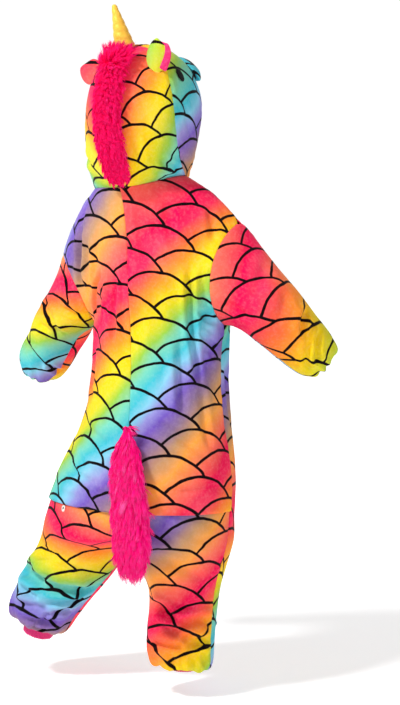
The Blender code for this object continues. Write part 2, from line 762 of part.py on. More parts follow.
def make_horn(tree, look):
    """A cone with a groove wound round it, its foot shaped to the crown."""
    foot = hood_point(HORN_ROW, 0.0)
    axis = HORN_LEAN.normalized()
    sideways = axis.cross(Vector((0, 1, 0))).normalized()
    forward = sideways.cross(axis)
    rings = [[rested(tree, foot, REST)] * HORN_SIDES]
    for share in (0.5, 1.0):
        ring = [horn_spoke(k, sideways, forward) * HORN_ROOT * share for k in range(HORN_SIDES)]
        rings.append([rested(tree, foot + spoke, REST) for spoke in ring])
    for i in range(1, HORN_RINGS + 1):
        t = i / HORN_RINGS
        radius = HORN_ROOT + (HORN_TIP - HORN_ROOT) * t
        ring = []
        for k in range(HORN_SIDES):
            wind = math.tau * (HORN_TURNS * t - k / HORN_SIDES)
            depth = HORN_GROOVE * (1 - 0.5 * t) * (0.5 - 0.5 * math.cos(wind)) ** 3
            spoke = horn_spoke(k, sideways, forward) * (radius - depth)
            ring.append(foot + axis * (0.006 + (HORN_LENGTH - 0.006) * t) + spoke)
        rings.append(ring)
    tip = foot + axis * (HORN_LENGTH + HORN_TIP * 0.6)
    rings.append([tip + horn_spoke(k, sideways, forward) * HORN_TIP * 0.5 for k in range(HORN_SIDES)])
    loft("horn", rings, look)


def horn_spoke(k, sideways, forward):
    angle = math.tau * k / HORN_SIDES
    return sideways * math.cos(angle) + forward * math.sin(angle)


def ear_layer(tree, side, spans, depth):
    """One face of a cupped leaf that stands on the hood, at a depth from its back."""
    ear = EARS[side]
    base = hood_point(ear.row, TOWARDS[side] * ear.across)
    up = (from_head(side, *ear.lean) - from_head(side, 0, 0, 0)).normalized()
    wide = from_head(side, *ear.spread) - from_head(side, 0, 0, 0)
    wide = (wide - up * wide.dot(up)).normalized()
    ahead = up.cross(wide)
    if ahead.y > 0:
        ahead = -ahead

    def flat(s, t):
        cup = EAR_CUP * (s * s * ear_share(t) - 0.5) + depth
        return base + up * ear.high * t + wide * ear.wide / 2 * ear_share(t) * s + ahead * cup

    low, high, edge = spans
    grid = []
    for r in range(EAR_ROWS + 1):
        t = low + (high - low) * r / EAR_ROWS
        row = []
        for c in range(EAR_COLUMNS + 1):
            s = edge * (2 * c / EAR_COLUMNS - 1)
            lift = rested(tree, flat(s, 0), 2 * REST) - flat(s, 0)
            row.append(flat(s, t) + lift * (1 - t) ** 1.5)
        grid.append(row)
    return grid


def ear_share(t):
    """How wide the ear is at a share of its height."""
    return (0.86 + 0.5 * t) * math.sqrt(max(0.0, 1 - t**2.2)) + 0.10 * t


def make_ears(tree, outside, lining):
    for side in ("left", "right"):
        front = CLOTH + 3 * SEAM_GAP
        shell = [ear_layer(tree, side, (0.0, 1.0, 1.0), depth) for depth in (0.0, CLOTH)]
        closed_wall(f"ear_{side}", *shell, False, outside)
        pad = [ear_layer(tree, side, EAR_LINED, depth) for depth in (front, front + EAR_LINING)]
        closed_wall(f"ear_lining_{side}", *pad, False, lining)


def make_mane(tree, look):
    """A thick strip over the back of the head, from behind the horn to the nape."""
    rings = []
    sideways = from_head("left", 1, 0, 0) - from_head("left", 0, 0, 0)
    for i in range(MANE_RINGS + 1):
        t = i / MANE_RINGS
        row = MANE_START + (MANE_END - MANE_START) * t
        centre = hood_point(row, 0.0)
        up = (hood_point(row - 0.05, 0.0) - hood_point(row + 0.05, 0.0)).cross(sideways).normalized()
        up = up if up.y > 0 else -up
        swell = min(1.0, 0.45 + 4 * t, 0.45 + 3 * (1 - t))
        half = MANE_WIDE * (0.5 + 0.5 * swell)
        rings.append(mane_ring(tree, centre, sideways * half, up, MANE_HIGH * swell))
    loft("mane", rings, look)


def mane_ring(tree, centre, half, up, high):
    """One section of the mane, flat on the hood and rounded above."""
    ring = [rested(tree, centre + half * s, 3.5 * REST) for s in (-0.9, -0.45, 0.0, 0.45, 0.9)]
    for k in range(7):
        angle = math.pi * (k + 0.35) / 6.7
        across, height = math.cos(angle), math.sin(angle)
        foot = rested(tree, centre + half * across, 3.5 * REST)
        ring.append(foot + up * high * (0.12 + 0.88 * height))
    return ring


def make_tail(look):
    """A long tuft that hangs from the back seam."""
    rings = []
    for t, wide, deep in TAIL_SECTIONS:
        place = TAIL_ROOT + (TAIL_END - TAIL_ROOT) * t
        place.y += TAIL_SWING * math.sin(math.pi * min(1.0, t * 1.6)) * 0.5
        ring = []
        for k in range(TAIL_SIDES):
            angle = math.tau * k / TAIL_SIDES
            ring.append(place + Vector((wide * math.cos(angle), deep * math.sin(angle), 0)))
        rings.append(ring)
    loft("tail", rings, look)


def make_eyes(tree, look):
    for side in ("left", "right"):
        at = TOWARDS[side] * EYE_ACROSS
        centre = hood_point(EYE_ROW, at)
        ahead = (hood_point(EYE_ROW - 0.1, at) - centre).normalized()
        up = hood_normal(EYE_ROW, at).cross(ahead) * TOWARDS[side]
        up = up if up.z > 0 else -up
        across = ahead * -TOWARDS[side]
        radii, spin = (EYE_WIDE, EYE_HIGH), EYE_TILT * -TOWARDS[side]
        disc(f"eye_{side}", tree, centre, across, up, radii, EYE_THICK, look, spin)


def make_muzzle(tree, look):
    """A stuffed snout on the front of the crown."""
    ahead = (from_head("left", 0, -1, 0) - from_head("left", 0, 0, 0)).normalized()
    lift = (ahead + Vector((0, 0, MUZZLE_RAISE))).normalized()
    rings = []
    spans = [(share, 0.0) for share in (0.02, 0.25, 0.5, 0.75, 1.0)]
    angles = [math.radians(a) for a in (12, 30, 48, 66, 82)]
    spans += [(math.cos(a) * 1.03, math.sin(a)) for a in angles]
    for share, height in spans:
        ring = []
        for k in range(MUZZLE_SIDES):
            angle = math.tau * k / MUZZLE_SIDES
            row = MUZZLE_ROW + MUZZLE_ROWS * share * math.cos(angle)
            across = MUZZLE_ACROSS * share * math.sin(angle)
            foot = rested(tree, hood_point(row, across), 4 * REST)
            ring.append(foot + lift * MUZZLE_HIGH * height)
        rings.append(ring)
    loft("muzzle", rings, look)


def front_point(row, metres):
    """A point on the front of the body, `metres` to the wearer's left of the middle."""
    side = "left" if metres >= 0 else "right"
    reach = abs(edge_point(side, "front", row).x - MIDDLES[side, "front"].at(row).x)
    return body_point(side, "front", row, abs(metres) / (3 * ROUND * reach))


def front_frame(row):
    """The directions up, to the wearer's left, and out of the front, on the middle line."""
    up = (front_point(row - 0.1, 0) - front_point(row + 0.1, 0)).normalized()
    across = Vector((1, 0, 0))
    across = (across - up * across.dot(up)).normalized()
    return up, across, across.cross(up)


def make_closure(tree, cloth, pearl):
    """The strip over the front opening, and its buttons."""
    top, bottom = PLACKET_ROWS
    outer, inner = [], []
    for row in range(top, bottom + 1):
        up, across, normal = front_frame(row)
        spots = [PLACKET_WIDE * (c / 4 - 0.5) for c in range(5)]
        inner.append([rested(tree, front_point(row, x), REST) for x in spots])
        outer.append([p + normal * PLACKET_THICK for p in inner[-1]])
    closed_wall("placket", outer, inner, False, cloth)
    grid = (outer, 1.0, False)
    strip = surface_tree({"strip": grid}, ["strip"])
    for i in range(FRONT_BUTTONS):
        row = top + 0.6 + (bottom - top - 1.4) * i / (FRONT_BUTTONS - 1)
        up, across, normal = front_frame(row)
        centre = front_point(row, 0) + normal * PLACKET_THICK
        radii = (BUTTON_RADIUS, BUTTON_RADIUS)
        disc(f"button_{i + 1}", strip, centre, across, up, radii, BUTTON_THICK, pearl)


def make_snap(grids, normals, pearl):
    """The snap that holds the drop seat's overlap at the wearer's left."""
    grid, outward, wrap = grids["body_back_left"]
    last = ROW_AT["hem"]
    lifted = [
        [p + normals[key(p)] * blouse(r, c / COLUMNS, "back") for c, p in enumerate(grid[r])]
        for r in range(last + 1)
    ]
    tree = surface_tree({"lap": (lifted, outward, wrap)}, ["lap"])
    centre = body_point("left", "back", last - SNAP_ABOVE_HEM, SNAP_U)
    place, normal, index, distance = tree.find_nearest(centre)
    across = Vector((0, 0, 1)).cross(normal).normalized()
    radii = (SNAP_RADIUS, SNAP_RADIUS)
    disc("seat_snap", tree, place, across, normal.cross(across), radii, BUTTON_THICK, pearl)


def make_cuffs(grids, look):
    """Knitted bands that go on down from the gathered ends of the legs."""
    for side in ("left", "right"):
        back, front = grids[f"body_back_{side}"][0][-1], grids[f"body_front_{side}"][0][-1]
        ring = back + front[-2:0:-1]
        centre = sum(ring, Vector()) / len(ring)
        down = Vector((TOWARDS[side] * CUFF_SPLAY[side], 0.0, -1.0)).normalized()
        outer, inner = [], []
        for share, size in ((0.0, 0.98), (0.35, 0.95), (0.7, 0.94), (1.0, 0.96)):
            drop = down * (CUFF_START + CUFF_LENGTH[side] * share)
            outer.append([centre + (p - centre) * size + drop for p in ring])
            inner.append([q + (centre + drop - q).normalized() * CUFF_WALL for q in outer[-1]])
        closed_wall(f"ankle_cuff_{side}", outer, inner, True, look)


def main():
    for obj in list(bpy.data.objects):
        bpy.data.objects.remove(obj)
    fleece = material("rainbow_fleece", PRINT, 0.9)
    pink = material("pink_lining", PINK, 0.9)
    fur = material("pink_fur", PINK, 0.95)
    gold = material("gold_satin", GOLD, 0.5)
    black = material("black_felt", BLACK, 0.8)
    pearl = material("pearl_plastic", PEARL, 0.3)
    rib = material("pink_rib", PINK, 0.85)
    grids = folded(all_grids())
    normals = shared_normals(grids)
    make_body(grids, normals, fleece)
    make_hood(grids, normals, fleece)
    crown = surface_tree(grids, ["hood_left", "hood_right"])
    chest = surface_tree(grids, ["body_front_left", "body_front_right"])
    make_horn(crown, gold)
    make_ears(crown, fleece, pink)
    make_mane(crown, fur)
    make_tail(fur)
    make_eyes(crown, black)
    make_muzzle(crown, fleece)
    make_closure(chest, fleece, pearl)
    make_snap(grids, normals, pearl)
    make_cuffs(grids, rib)


main()
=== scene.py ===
# %% [markdown]
# # Dressing a child's unicorn onesie
#
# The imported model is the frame: a hollow suit of cloth walls, in metres, with +Z up, the front
# facing -Y and the origin at the foot of the neck. It has the cut and the pose. This lesson gives
# it what cloth has: a nap, a print, puckered seams and small creases, and fur that stands up.
# Every piece starts from the solid that it replaces, so it lies where the frame says. The horn,
# the ears, the muzzle, the mane and the snap are then shifted a little, to lie as in the photo.

import math
from collections import namedtuple

import bmesh
import bpy
import numpy as np
from mathutils import Matrix, Vector, noise
from mathutils.bvhtree import BVHTree
from mathutils.kdtree import KDTree


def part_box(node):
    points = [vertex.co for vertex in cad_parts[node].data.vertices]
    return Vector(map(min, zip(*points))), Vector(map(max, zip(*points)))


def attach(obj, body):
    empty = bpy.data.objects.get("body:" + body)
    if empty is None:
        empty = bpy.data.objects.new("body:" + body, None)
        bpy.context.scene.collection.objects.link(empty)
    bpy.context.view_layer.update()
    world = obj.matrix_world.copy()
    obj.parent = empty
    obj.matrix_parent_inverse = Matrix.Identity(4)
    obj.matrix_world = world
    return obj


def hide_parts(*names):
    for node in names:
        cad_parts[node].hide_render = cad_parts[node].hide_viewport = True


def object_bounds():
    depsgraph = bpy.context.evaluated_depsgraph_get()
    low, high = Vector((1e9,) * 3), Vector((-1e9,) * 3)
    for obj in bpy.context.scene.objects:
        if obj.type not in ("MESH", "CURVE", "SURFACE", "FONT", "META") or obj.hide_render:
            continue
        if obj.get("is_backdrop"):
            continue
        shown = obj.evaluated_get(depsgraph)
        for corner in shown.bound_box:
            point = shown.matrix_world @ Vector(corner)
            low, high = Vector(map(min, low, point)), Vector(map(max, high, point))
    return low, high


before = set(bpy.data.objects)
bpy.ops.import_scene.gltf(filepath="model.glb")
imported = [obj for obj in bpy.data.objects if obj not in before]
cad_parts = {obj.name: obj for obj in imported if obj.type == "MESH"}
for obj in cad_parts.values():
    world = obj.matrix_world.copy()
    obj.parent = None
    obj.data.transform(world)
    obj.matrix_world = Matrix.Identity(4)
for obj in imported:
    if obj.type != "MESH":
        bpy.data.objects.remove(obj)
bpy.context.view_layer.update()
bpy.ops.object.select_all(action="DESELECT")


def linked(name, data):
    """A new object of the scene that shows a mesh, holds a lens or holds a light."""
    thing = bpy.data.objects.new(name, data)
    bpy.context.scene.collection.objects.link(thing)
    return thing


print("the frame has", len(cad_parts), "solids")

# %% [markdown]
# ## The camera
#
# It stands where the photographer stood: behind the suit and a little to its right, at chest
# height. Distance, focal length and target were worked out once from the size that the suit is
# taken to have, so a pixel of the photo can later be followed back to a place on the cloth.

# %% Place the camera
PHOTO_WIDE, PHOTO_HIGH = 400, 705
AZIMUTH, ELEVATION = math.radians(208), math.radians(3)
DISTANCE = 3.0
FOCAL_PIXELS = 1724.0
AIM_RIGHT, AIM_DOWN = 0.087, 0.283

right = Vector((math.cos(AZIMUTH), math.sin(AZIMUTH), 0))
back = Vector((
    math.sin(AZIMUTH) * math.cos(ELEVATION),
    -math.cos(AZIMUTH) * math.cos(ELEVATION),
    math.sin(ELEVATION),
))
aim = right * AIM_RIGHT - Vector((0, 0, AIM_DOWN))
lens = bpy.data.cameras.new("camera")
camera = linked("camera", lens)
bpy.context.scene.camera = camera
camera.location = aim + back * DISTANCE
camera.rotation_mode = "QUATERNION"
camera.rotation_quaternion = (-back).to_track_quat("-Z", "Y")
lens.sensor_fit = "VERTICAL"
lens.sensor_height = 24
lens.lens = lens.sensor_height * FOCAL_PIXELS / PHOTO_HIGH
lens.clip_start, lens.clip_end = 0.1, 50


def photo_ray(x, y):
    """The direction from the camera through a pixel of the photo."""
    up = back.cross(right)
    across = (x - PHOTO_WIDE / 2) / FOCAL_PIXELS
    above = (PHOTO_HIGH / 2 - y) / FOCAL_PIXELS
    return (right * across + up * above - back).normalized()


print("the camera is at", [round(c, 3) for c in camera.location])

# %% [markdown]
# ## From solid to skin
#
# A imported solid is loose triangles. Merging their corners and joining pairs of triangles brings
# back the four-sided faces. A panel's wall has two large sides joined by a rim as narrow as the
# cloth is thick, so the rim's triangles are those with a short edge. With them left out, what
# hangs together is one side, and the larger one is the outside.


# %% Take the outer side of a solid
WALL = 0.0022
# A face of a wall with an edge shorter than this belongs to its rim.
RIM_EDGE = WALL * 1.3
MERGED = 2e-6
# How steeply two triangles of a skin or a solid may meet and still be joined, in degrees.
SKIN_STEEPEST, SOLID_STEEPEST, CORNER_STEEPEST = 75, 40, 70


def with_quads(bm, steepest):
    """Joins pairs of triangles into four-sided faces, and smooths the shading."""
    bmesh.ops.join_triangles(
        bm, faces=bm.faces, angle_face_threshold=math.radians(steepest),
        angle_shape_threshold=math.radians(CORNER_STEEPEST),
    )
    for face in bm.faces:
        face.smooth = True
    for edge in bm.edges:
        edge.smooth = True


def one_side(bm):
    """Leaves of a wall only its outer side."""
    side = {f for f in bm.faces if min(e.calc_length() for e in f.edges) > RIM_EDGE}
    groups = []
    while side:
        waiting = [side.pop()]
        group = []
        while waiting:
            face = waiting.pop()
            group.append(face)
            for edge in face.edges:
                for other in edge.link_faces:
                    if other in side:
                        side.remove(other)
                        waiting.append(other)
        groups.append(group)
    keep = set(max(groups, key=lambda g: sum(f.calc_area() for f in g)))
    bmesh.ops.delete(bm, geom=[f for f in bm.faces if f not in keep], context="FACES")


def copied(node, name, skin=False):
    """A copy of a node's mesh as a new piece with merged corners: its solid, or its outer skin."""
    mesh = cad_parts[node].data.copy()
    mesh.materials.clear()
    mesh.name = name
    if "custom_normal" in mesh.attributes:
        mesh.attributes.remove(mesh.attributes["custom_normal"])
    bm = bmesh.new()
    bm.from_mesh(mesh)
    bmesh.ops.remove_doubles(bm, verts=bm.verts, dist=MERGED)
    if skin:
        one_side(bm)
    with_quads(bm, SKIN_STEEPEST if skin else SOLID_STEEPEST)
    bm.to_mesh(mesh)
    bm.free()
    return linked(name, mesh)


def choose(piece):
    """Makes a piece the only selected and active one, as the operators need."""
    bpy.ops.object.select_all(action="DESELECT")
    piece.select_set(True)
    bpy.context.view_layer.objects.active = piece


def applied(piece, kind, **settings):
    """Adds a modifier with its settings and applies it."""
    choose(piece)
    modifier = piece.modifiers.new(kind.lower(), kind)
    for name, value in settings.items():
        setattr(modifier, name, value)
    bpy.ops.object.modifier_apply(modifier=modifier.name)
    return piece


def read(items, name, columns=1, kind=float):
    """One attribute of all points, corners or edges of a mesh, as an array."""
    values = np.zeros(len(items) * columns, kind)
    items.foreach_get(name, values)
    return values.reshape(-1, columns) if columns > 1 else values


def points_of(piece):
    return read(piece.data.vertices, "co", 3)


def normals_of(piece):
    return read(piece.data.vertices, "normal", 3)


def corners_of(piece):
    """For each corner of the faces, the number of its point."""
    return read(piece.data.loops, "vertex_index", kind=int)


def flat_of(piece):
    return read(piece.data.uv_layers["flat"].data, "uv", 2)


def move_points(piece, points):
    piece.data.vertices.foreach_set("co", points.ravel())
    piece.data.update()


# %% [markdown]
# ## Laying the cloth flat
#
# The real suit was cut from printed cloth, so each panel has a flat pattern piece. Blender's
# unwrap finds it. The flat piece is scaled back to metres and turned until its grain, the
# direction in which the scales stand, points up. A sleeve is a tube, so it is first cut open
# along its underarm. The print is then one pattern in flat metres for every panel.


# %% Unwrap a panel into metres
# How much longer a step along the rim counts, so that the cut leaves the rim.
RIM_PRICE = 4


def cut_open(piece, start, end):
    """Marks the edges on the shortest way between the points nearest to start and end."""
    bm = bmesh.new()
    bm.from_mesh(piece.data)
    rim = [v for v in bm.verts if v.is_boundary]
    first = min(rim, key=lambda v: (v.co - start).length)
    last = min(rim, key=lambda v: (v.co - end).length)
    cost, came, waiting = {first: 0.0}, {}, [first]
    while waiting:
        vert = min(waiting, key=lambda v: cost[v])
        waiting.remove(vert)
        if vert is last:
            break
        for edge in vert.link_edges:
            other = edge.other_vert(vert)
            price = cost[vert] + edge.calc_length() * (RIM_PRICE if edge.is_boundary else 1)
            if price < cost.get(other, 1e9):
                cost[other], came[other] = price, edge
                waiting.append(other)
    while vert is not first:
        came[vert].seam = True
        vert = came[vert].other_vert(vert)
    bm.to_mesh(piece.data)
    bm.free()


def lay_flat(piece, grain):
    """Unwraps a skin and writes its flat place in metres to the UV map named flat."""
    mesh = piece.data
    choose(piece)
    mesh.uv_layers.new(name="flat")
    bpy.ops.object.mode_set(mode="EDIT")
    bpy.ops.mesh.select_all(action="SELECT")
    bpy.ops.uv.unwrap(method="ANGLE_BASED", margin=0.0)
    bpy.ops.object.mode_set(mode="OBJECT")
    uv = flat_of(piece)
    height = grain(points_of(piece))[corners_of(piece)]
    area, flat_area = 0.0, 0.0
    for face in mesh.polygons:
        p = uv[list(face.loop_indices)]
        q = np.roll(p, -1, axis=0)
        flat_area += 0.5 * float(np.sum(p[:, 0] * q[:, 1] - p[:, 1] * q[:, 0]))
        area += face.area
    if flat_area < 0:
        uv[:, 0] *= -1
    uv *= math.sqrt(area / abs(flat_area))
    table = np.c_[uv, np.ones(len(uv))]
    slope = np.linalg.lstsq(table, height, rcond=None)[0][:2]
    up = slope / np.linalg.norm(slope)
    uv = np.c_[uv @ np.array([up[1], -up[0]]), uv @ up]
    uv -= uv.mean(axis=0)
    mesh.uv_layers["flat"].data.foreach_set("uv", uv.ravel())
    size = uv.max(axis=0) - uv.min(axis=0)
    return float(size[0]), float(size[1]), area


# %% [markdown]
# ## Where the print falls
#
# The print has two parts. Its black fish scales repeat every 110 mm across and 79 mm up, and its
# rainbow runs slantwise over them. On each panel the photo shows where a scale has its crown and
# which colours lie where. Following those pixels back to the cloth gives their flat places. The
# rainbow of a panel is the even slope of colour that comes nearest to all of them, and on two
# panels it runs slower before its first red. Where several crowns were read, the scales are also
# stretched and turned a little to come near them.

# %% Anchors of the print
SCALE_WIDE = 0.110
SCALE_RISE = 0.0394
SCALE_RADIUS = 0.080
SCALE_LINE = 0.0048

# Places of the colours in one turn of the rainbow.
RED, CORAL, ORANGE, AMBER, YELLOW = 0.0, 0.07, 0.14, 0.19, 0.25
LIME, GREEN, AQUA, TURQUOISE = 0.33, 0.37, 0.42, 0.47
BLUE, LILAC, PURPLE, MAUVE, TAN, APRICOT = 0.53, 0.58, 0.63, 0.70, 0.76, 0.83

# A colour seen at a pixel of the photo. `turns` counts whole rainbows.
Seen = namedtuple("Seen", "x y colour turns")
# A crown of a scale seen at a pixel: its column, in scales, and its row, counted upwards.
Crown = namedtuple("Crown", "x y column row")
# `early` is the pace of the rainbow before its first red, as a share of its pace after it.
Print = namedtuple("Print", "node crowns seen early", defaults=(1.0,))
PRINTS = (
    Print("back_right", (Crown(155.5, 225.5, 0, 0),), (
        Seen(150, 232, RED, 0), Seen(150, 330, YELLOW, 0), Seen(200, 372, PURPLE, 0),
        Seen(150, 425, PURPLE, 0),
    ), 0.28),
    Print("back_left", (Crown(113, 236, 0, 0),), (
        Seen(66, 232, PURPLE, -1), Seen(98, 205, TAN, -1), Seen(112, 215, APRICOT, -1),
        Seen(108, 232, APRICOT, -1), Seen(112, 320, RED, 0), Seen(90, 400, YELLOW, 0),
        Seen(100, 440, TURQUOISE, 0),
    )),
    Print("seat_right", (Crown(190, 521, 0, 0),), (
        Seen(158, 528, PURPLE, -1), Seen(200, 545, APRICOT, -1), Seen(190, 606, RED, 0),
        Seen(190, 652, YELLOW, 0),
    )),
    Print("seat_left", (Crown(60, 537, 0, 0),), (
        Seen(58, 520, RED, 0), Seen(60, 554, YELLOW, 0), Seen(80, 585, GREEN, 0),
        Seen(45, 612, BLUE, 0), Seen(60, 632, TAN, 0),
    )),
    Print("sleeve_right", (Crown(247, 250, 0, 0),), (
        Seen(245, 270, RED, 0), Seen(285, 320, ORANGE, 0), Seen(312, 345, YELLOW, 0),
        Seen(255, 320, CORAL, 0),
    )),
    Print("sleeve_left", (Crown(62, 300, 0, 0),), (
        Seen(66, 280, RED, 0), Seen(60, 310, AMBER, 0), Seen(52, 340, GREEN, 0), Seen(40, 368, BLUE, 0),
    )),
    Print("hood_right", (
        Crown(143.5, 96.4, 0, 0), Crown(155, 137.1, 0, -2), Crown(168.7, 105.2, 0.5, -1),
        Crown(150.4, 64.2, 0.5, 1),
    ), (
        Seen(130, 62, CORAL, 0), Seen(146, 78, ORANGE, 0), Seen(156, 84, AMBER, 0),
        Seen(130, 112, ORANGE, 0), Seen(140, 112, AMBER, 0), Seen(152, 122, YELLOW, 0),
        Seen(164, 130, LIME, 0), Seen(144, 160, YELLOW, 0), Seen(170, 160, AQUA, 0),
    ), 0.4),
    Print("face_right", (Crown(182, 112, 0, 0),), (
        Seen(180, 80, AQUA, 0), Seen(196, 80, TURQUOISE, 0), Seen(184, 108, TURQUOISE, 0),
        Seen(196, 112, LILAC, 0), Seen(186, 130, LILAC, 0), Seen(197, 130, PURPLE, 0),
        Seen(190, 152, MAUVE, 0),
    )),
)
print("the print is set on", len(PRINTS), "panels that the photo shows")


# Where a line of sight misses its panel, the point nearest to this far past the aim is taken.
PAST_AIM = 0.02


def photo_hit(skins, x, y, node):
    """Where the line of sight through a pixel first meets a panel, as (place, face)."""
    piece = skins[node]
    points = [v.co.copy() for v in piece.data.vertices]
    faces = [tuple(f.vertices) for f in piece.data.polygons]
    tree = BVHTree.FromPolygons(points, faces)
    sight = photo_ray(x, y)
    place, _, index, _ = tree.ray_cast(camera.location, sight)
    if place is None:
        place, _, index, _ = tree.find_nearest(camera.location + sight * (DISTANCE + PAST_AIM))
    return place, index


def flat_place(piece, place, index):
    """The flat place of a point of a face, by the nearness of the face's corners."""
    mesh = piece.data
    face = mesh.polygons[index]
    weights, total = [], Vector((0, 0))
    for loop in face.loop_indices:
        corner = mesh.vertices[mesh.loops[loop].vertex_index].co
        weight = 1 / ((corner - place).length ** 2 + 1e-9)
        weights.append(weight)
        total += mesh.uv_layers["flat"].data[loop].uv * weight
    return total / sum(weights)


# %% [markdown]
# ## Creases
#
# Plush fleece is thick, so it folds in soft troughs between rounded ridges. The large folds are
# already in the frame. These smaller ones are placed one by one: those that the photo shows by
# the pixels where they start and end, and similar ones on the hidden sides by their place in the
# frame. They differ in width, depth and bow, as the creases of worn cloth do.

# %% Tables of creases
# By panel, from pixel to pixel of the photo. Widths and depths are in millimetres. A negative
# depth is a trough. `bow` is the sideways sag of the middle, as a share of the length.
SeenCrease = namedtuple("SeenCrease", "x1 y1 x2 y2 wide deep bow")
SEEN_CREASES = {
    "back_right": (
        (190, 262, 201, 392, 6.0, -11.0, 0.03),
        (205, 268, 211, 398, 10, -9.0, 0.02),
        (199, 285, 208, 400, 8.0, 5.8, -0.02),
        (181, 335, 184, 422, 6.9, -5.4, 0.03),
        (172, 350, 174, 415, 8.0, 3.8, 0.02),
        (196, 308, 217, 323, 4.6, -5.1, 0.08),
        (199, 330, 217, 346, 4.6, -4.2, 0.08),
        (205, 350, 216, 366, 5.8, 3.5, 0.05),
        (168, 198, 176, 250, 8.0, -4.2, 0.05),
        (208, 205, 213, 245, 6.9, -4.8, -0.05),
        (150, 424, 196, 448, 6.9, -5.8, -0.06),
        (156, 446, 205, 462, 8.0, 4.2, -0.05),
        (160, 470, 222, 480, 6.9, -3.8, 0.05),
        (168, 494, 228, 489, 5.8, -3.5, -0.04),
        (140, 205, 146, 262, 8.0, -3.2, 0.04),
        (147, 270, 150, 360, 10.3, 2.6, 0.02),
    ),
    "back_left": (
        (81, 222, 83, 294, 6.5, -11.5, 0.03),
        (90, 232, 91, 288, 7.2, 4.8, -0.02),
        (101, 268, 97, 322, 4.8, -7.4, 0.06),
        (107, 276, 104, 326, 6.0, 4.2, 0.04),
        (116, 282, 113, 350, 6.0, -5.4, 0.03),
        (121, 268, 121, 340, 4.8, 3.2, 0.03),
        (96, 340, 92, 400, 7.2, -4.2, 0.05),
        (84, 422, 112, 446, 7.2, -4.8, 0.08),
        (76, 444, 106, 470, 7.2, 4.2, 0.06),
        (66, 462, 98, 486, 6.0, -5.1, 0.08),
        (84, 486, 112, 495, 4.8, -4.8, 0.08),
        (60, 484, 82, 494, 6.0, 3.5, 0.06),
        (88, 200, 80, 226, 7.2, -3.5, 0.05),
    ),
    "seat_right": (
        (150, 604, 176, 623, 7.5, -12.5, -0.10),
        (176, 623, 214, 624, 7.5, -12.5, -0.08),
        (152, 612, 214, 631, 7.8, 6.0, -0.08),
        (147, 627, 180, 634, 6.5, -11.0, -0.06),
        (180, 634, 216, 643, 6.5, -10.0, 0.05),
        (146, 642, 184, 647, 6.5, -11.5, 0.06),
        (184, 646, 216, 637, 6.5, -10.5, 0.05),
        (172, 652, 176, 672, 5.2, -6.3, 0.08),
        (200, 648, 204, 668, 5.2, -7.4, -0.08),
        (186, 652, 190, 674, 6.5, 4.5, 0.05),
        (156, 532, 214, 540, 9.1, -4.2, 0.06),
        (160, 560, 205, 582, 9.1, -3.9, -0.05),
    ),
    "seat_left": (
        (20, 570, 44, 584, 7.5, -13.5, -0.06),
        (44, 584, 88, 590, 7.5, -12.5, 0.06),
        (24, 560, 92, 580, 9.1, 6.8, 0.05),
        (17, 588, 37, 602, 6.5, -11.5, -0.08),
        (37, 602, 86, 598, 6.5, -11.0, 0.06),
        (15, 603, 50, 613, 6.5, -10.5, -0.06),
        (50, 613, 72, 608, 6.5, -9.5, 0.05),
        (22, 618, 60, 622, 5.2, -7.5, 0.06),
        (24, 626, 48, 632, 3.9, -5.8, 0.05),
        (50, 520, 98, 536, 9.1, -4.4, 0.05),
        (36, 545, 80, 560, 9.1, -4.1, 0.06),
    ),
    "sleeve_right": (
        (309, 308, 303, 336, 5.2, -7.6, 0.08),
        (301, 306, 294, 334, 6.5, 4.6, 0.05),
        (321, 328, 318, 366, 5.2, -8.4, 0.06),
        (311, 338, 307, 372, 5.2, -6.8, 0.06),
        (270, 262, 256, 300, 10.4, -4.6, 0.06),
        (288, 290, 272, 330, 9.1, -4.2, -0.05),
        (226, 300, 250, 318, 6.5, -5.7, 0.06),
    ),
    "sleeve_left": (
        (43, 296, 60, 336, 6.0, -6.8, 0.05),
        (48, 298, 86, 317, 4.8, -6.1, 0.06),
        (62, 268, 82, 306, 6.0, -5.1, 0.05),
        (36, 322, 70, 336, 6.0, -5.8, 0.06),
        (28, 346, 46, 368, 4.8, -6.1, 0.05),
        (46, 364, 62, 372, 4.8, -5.4, 0.05),
    ),
    "hood_right": (
        (160, 158, 182, 170, 4.8, -4.5, 0.06),
        (154, 164, 172, 174, 4.8, 2.8, 0.05),
        (134, 128, 140, 172, 8.4, -2.5, 0.05),
        (140, 62, 158, 70, 6.0, -2.5, 0.05),
    ),
    "face_right": (
        (178, 152, 190, 166, 4.8, -3.4, 0.05),
        (186, 100, 192, 140, 7.2, -2.2, 0.04),
    ),
}

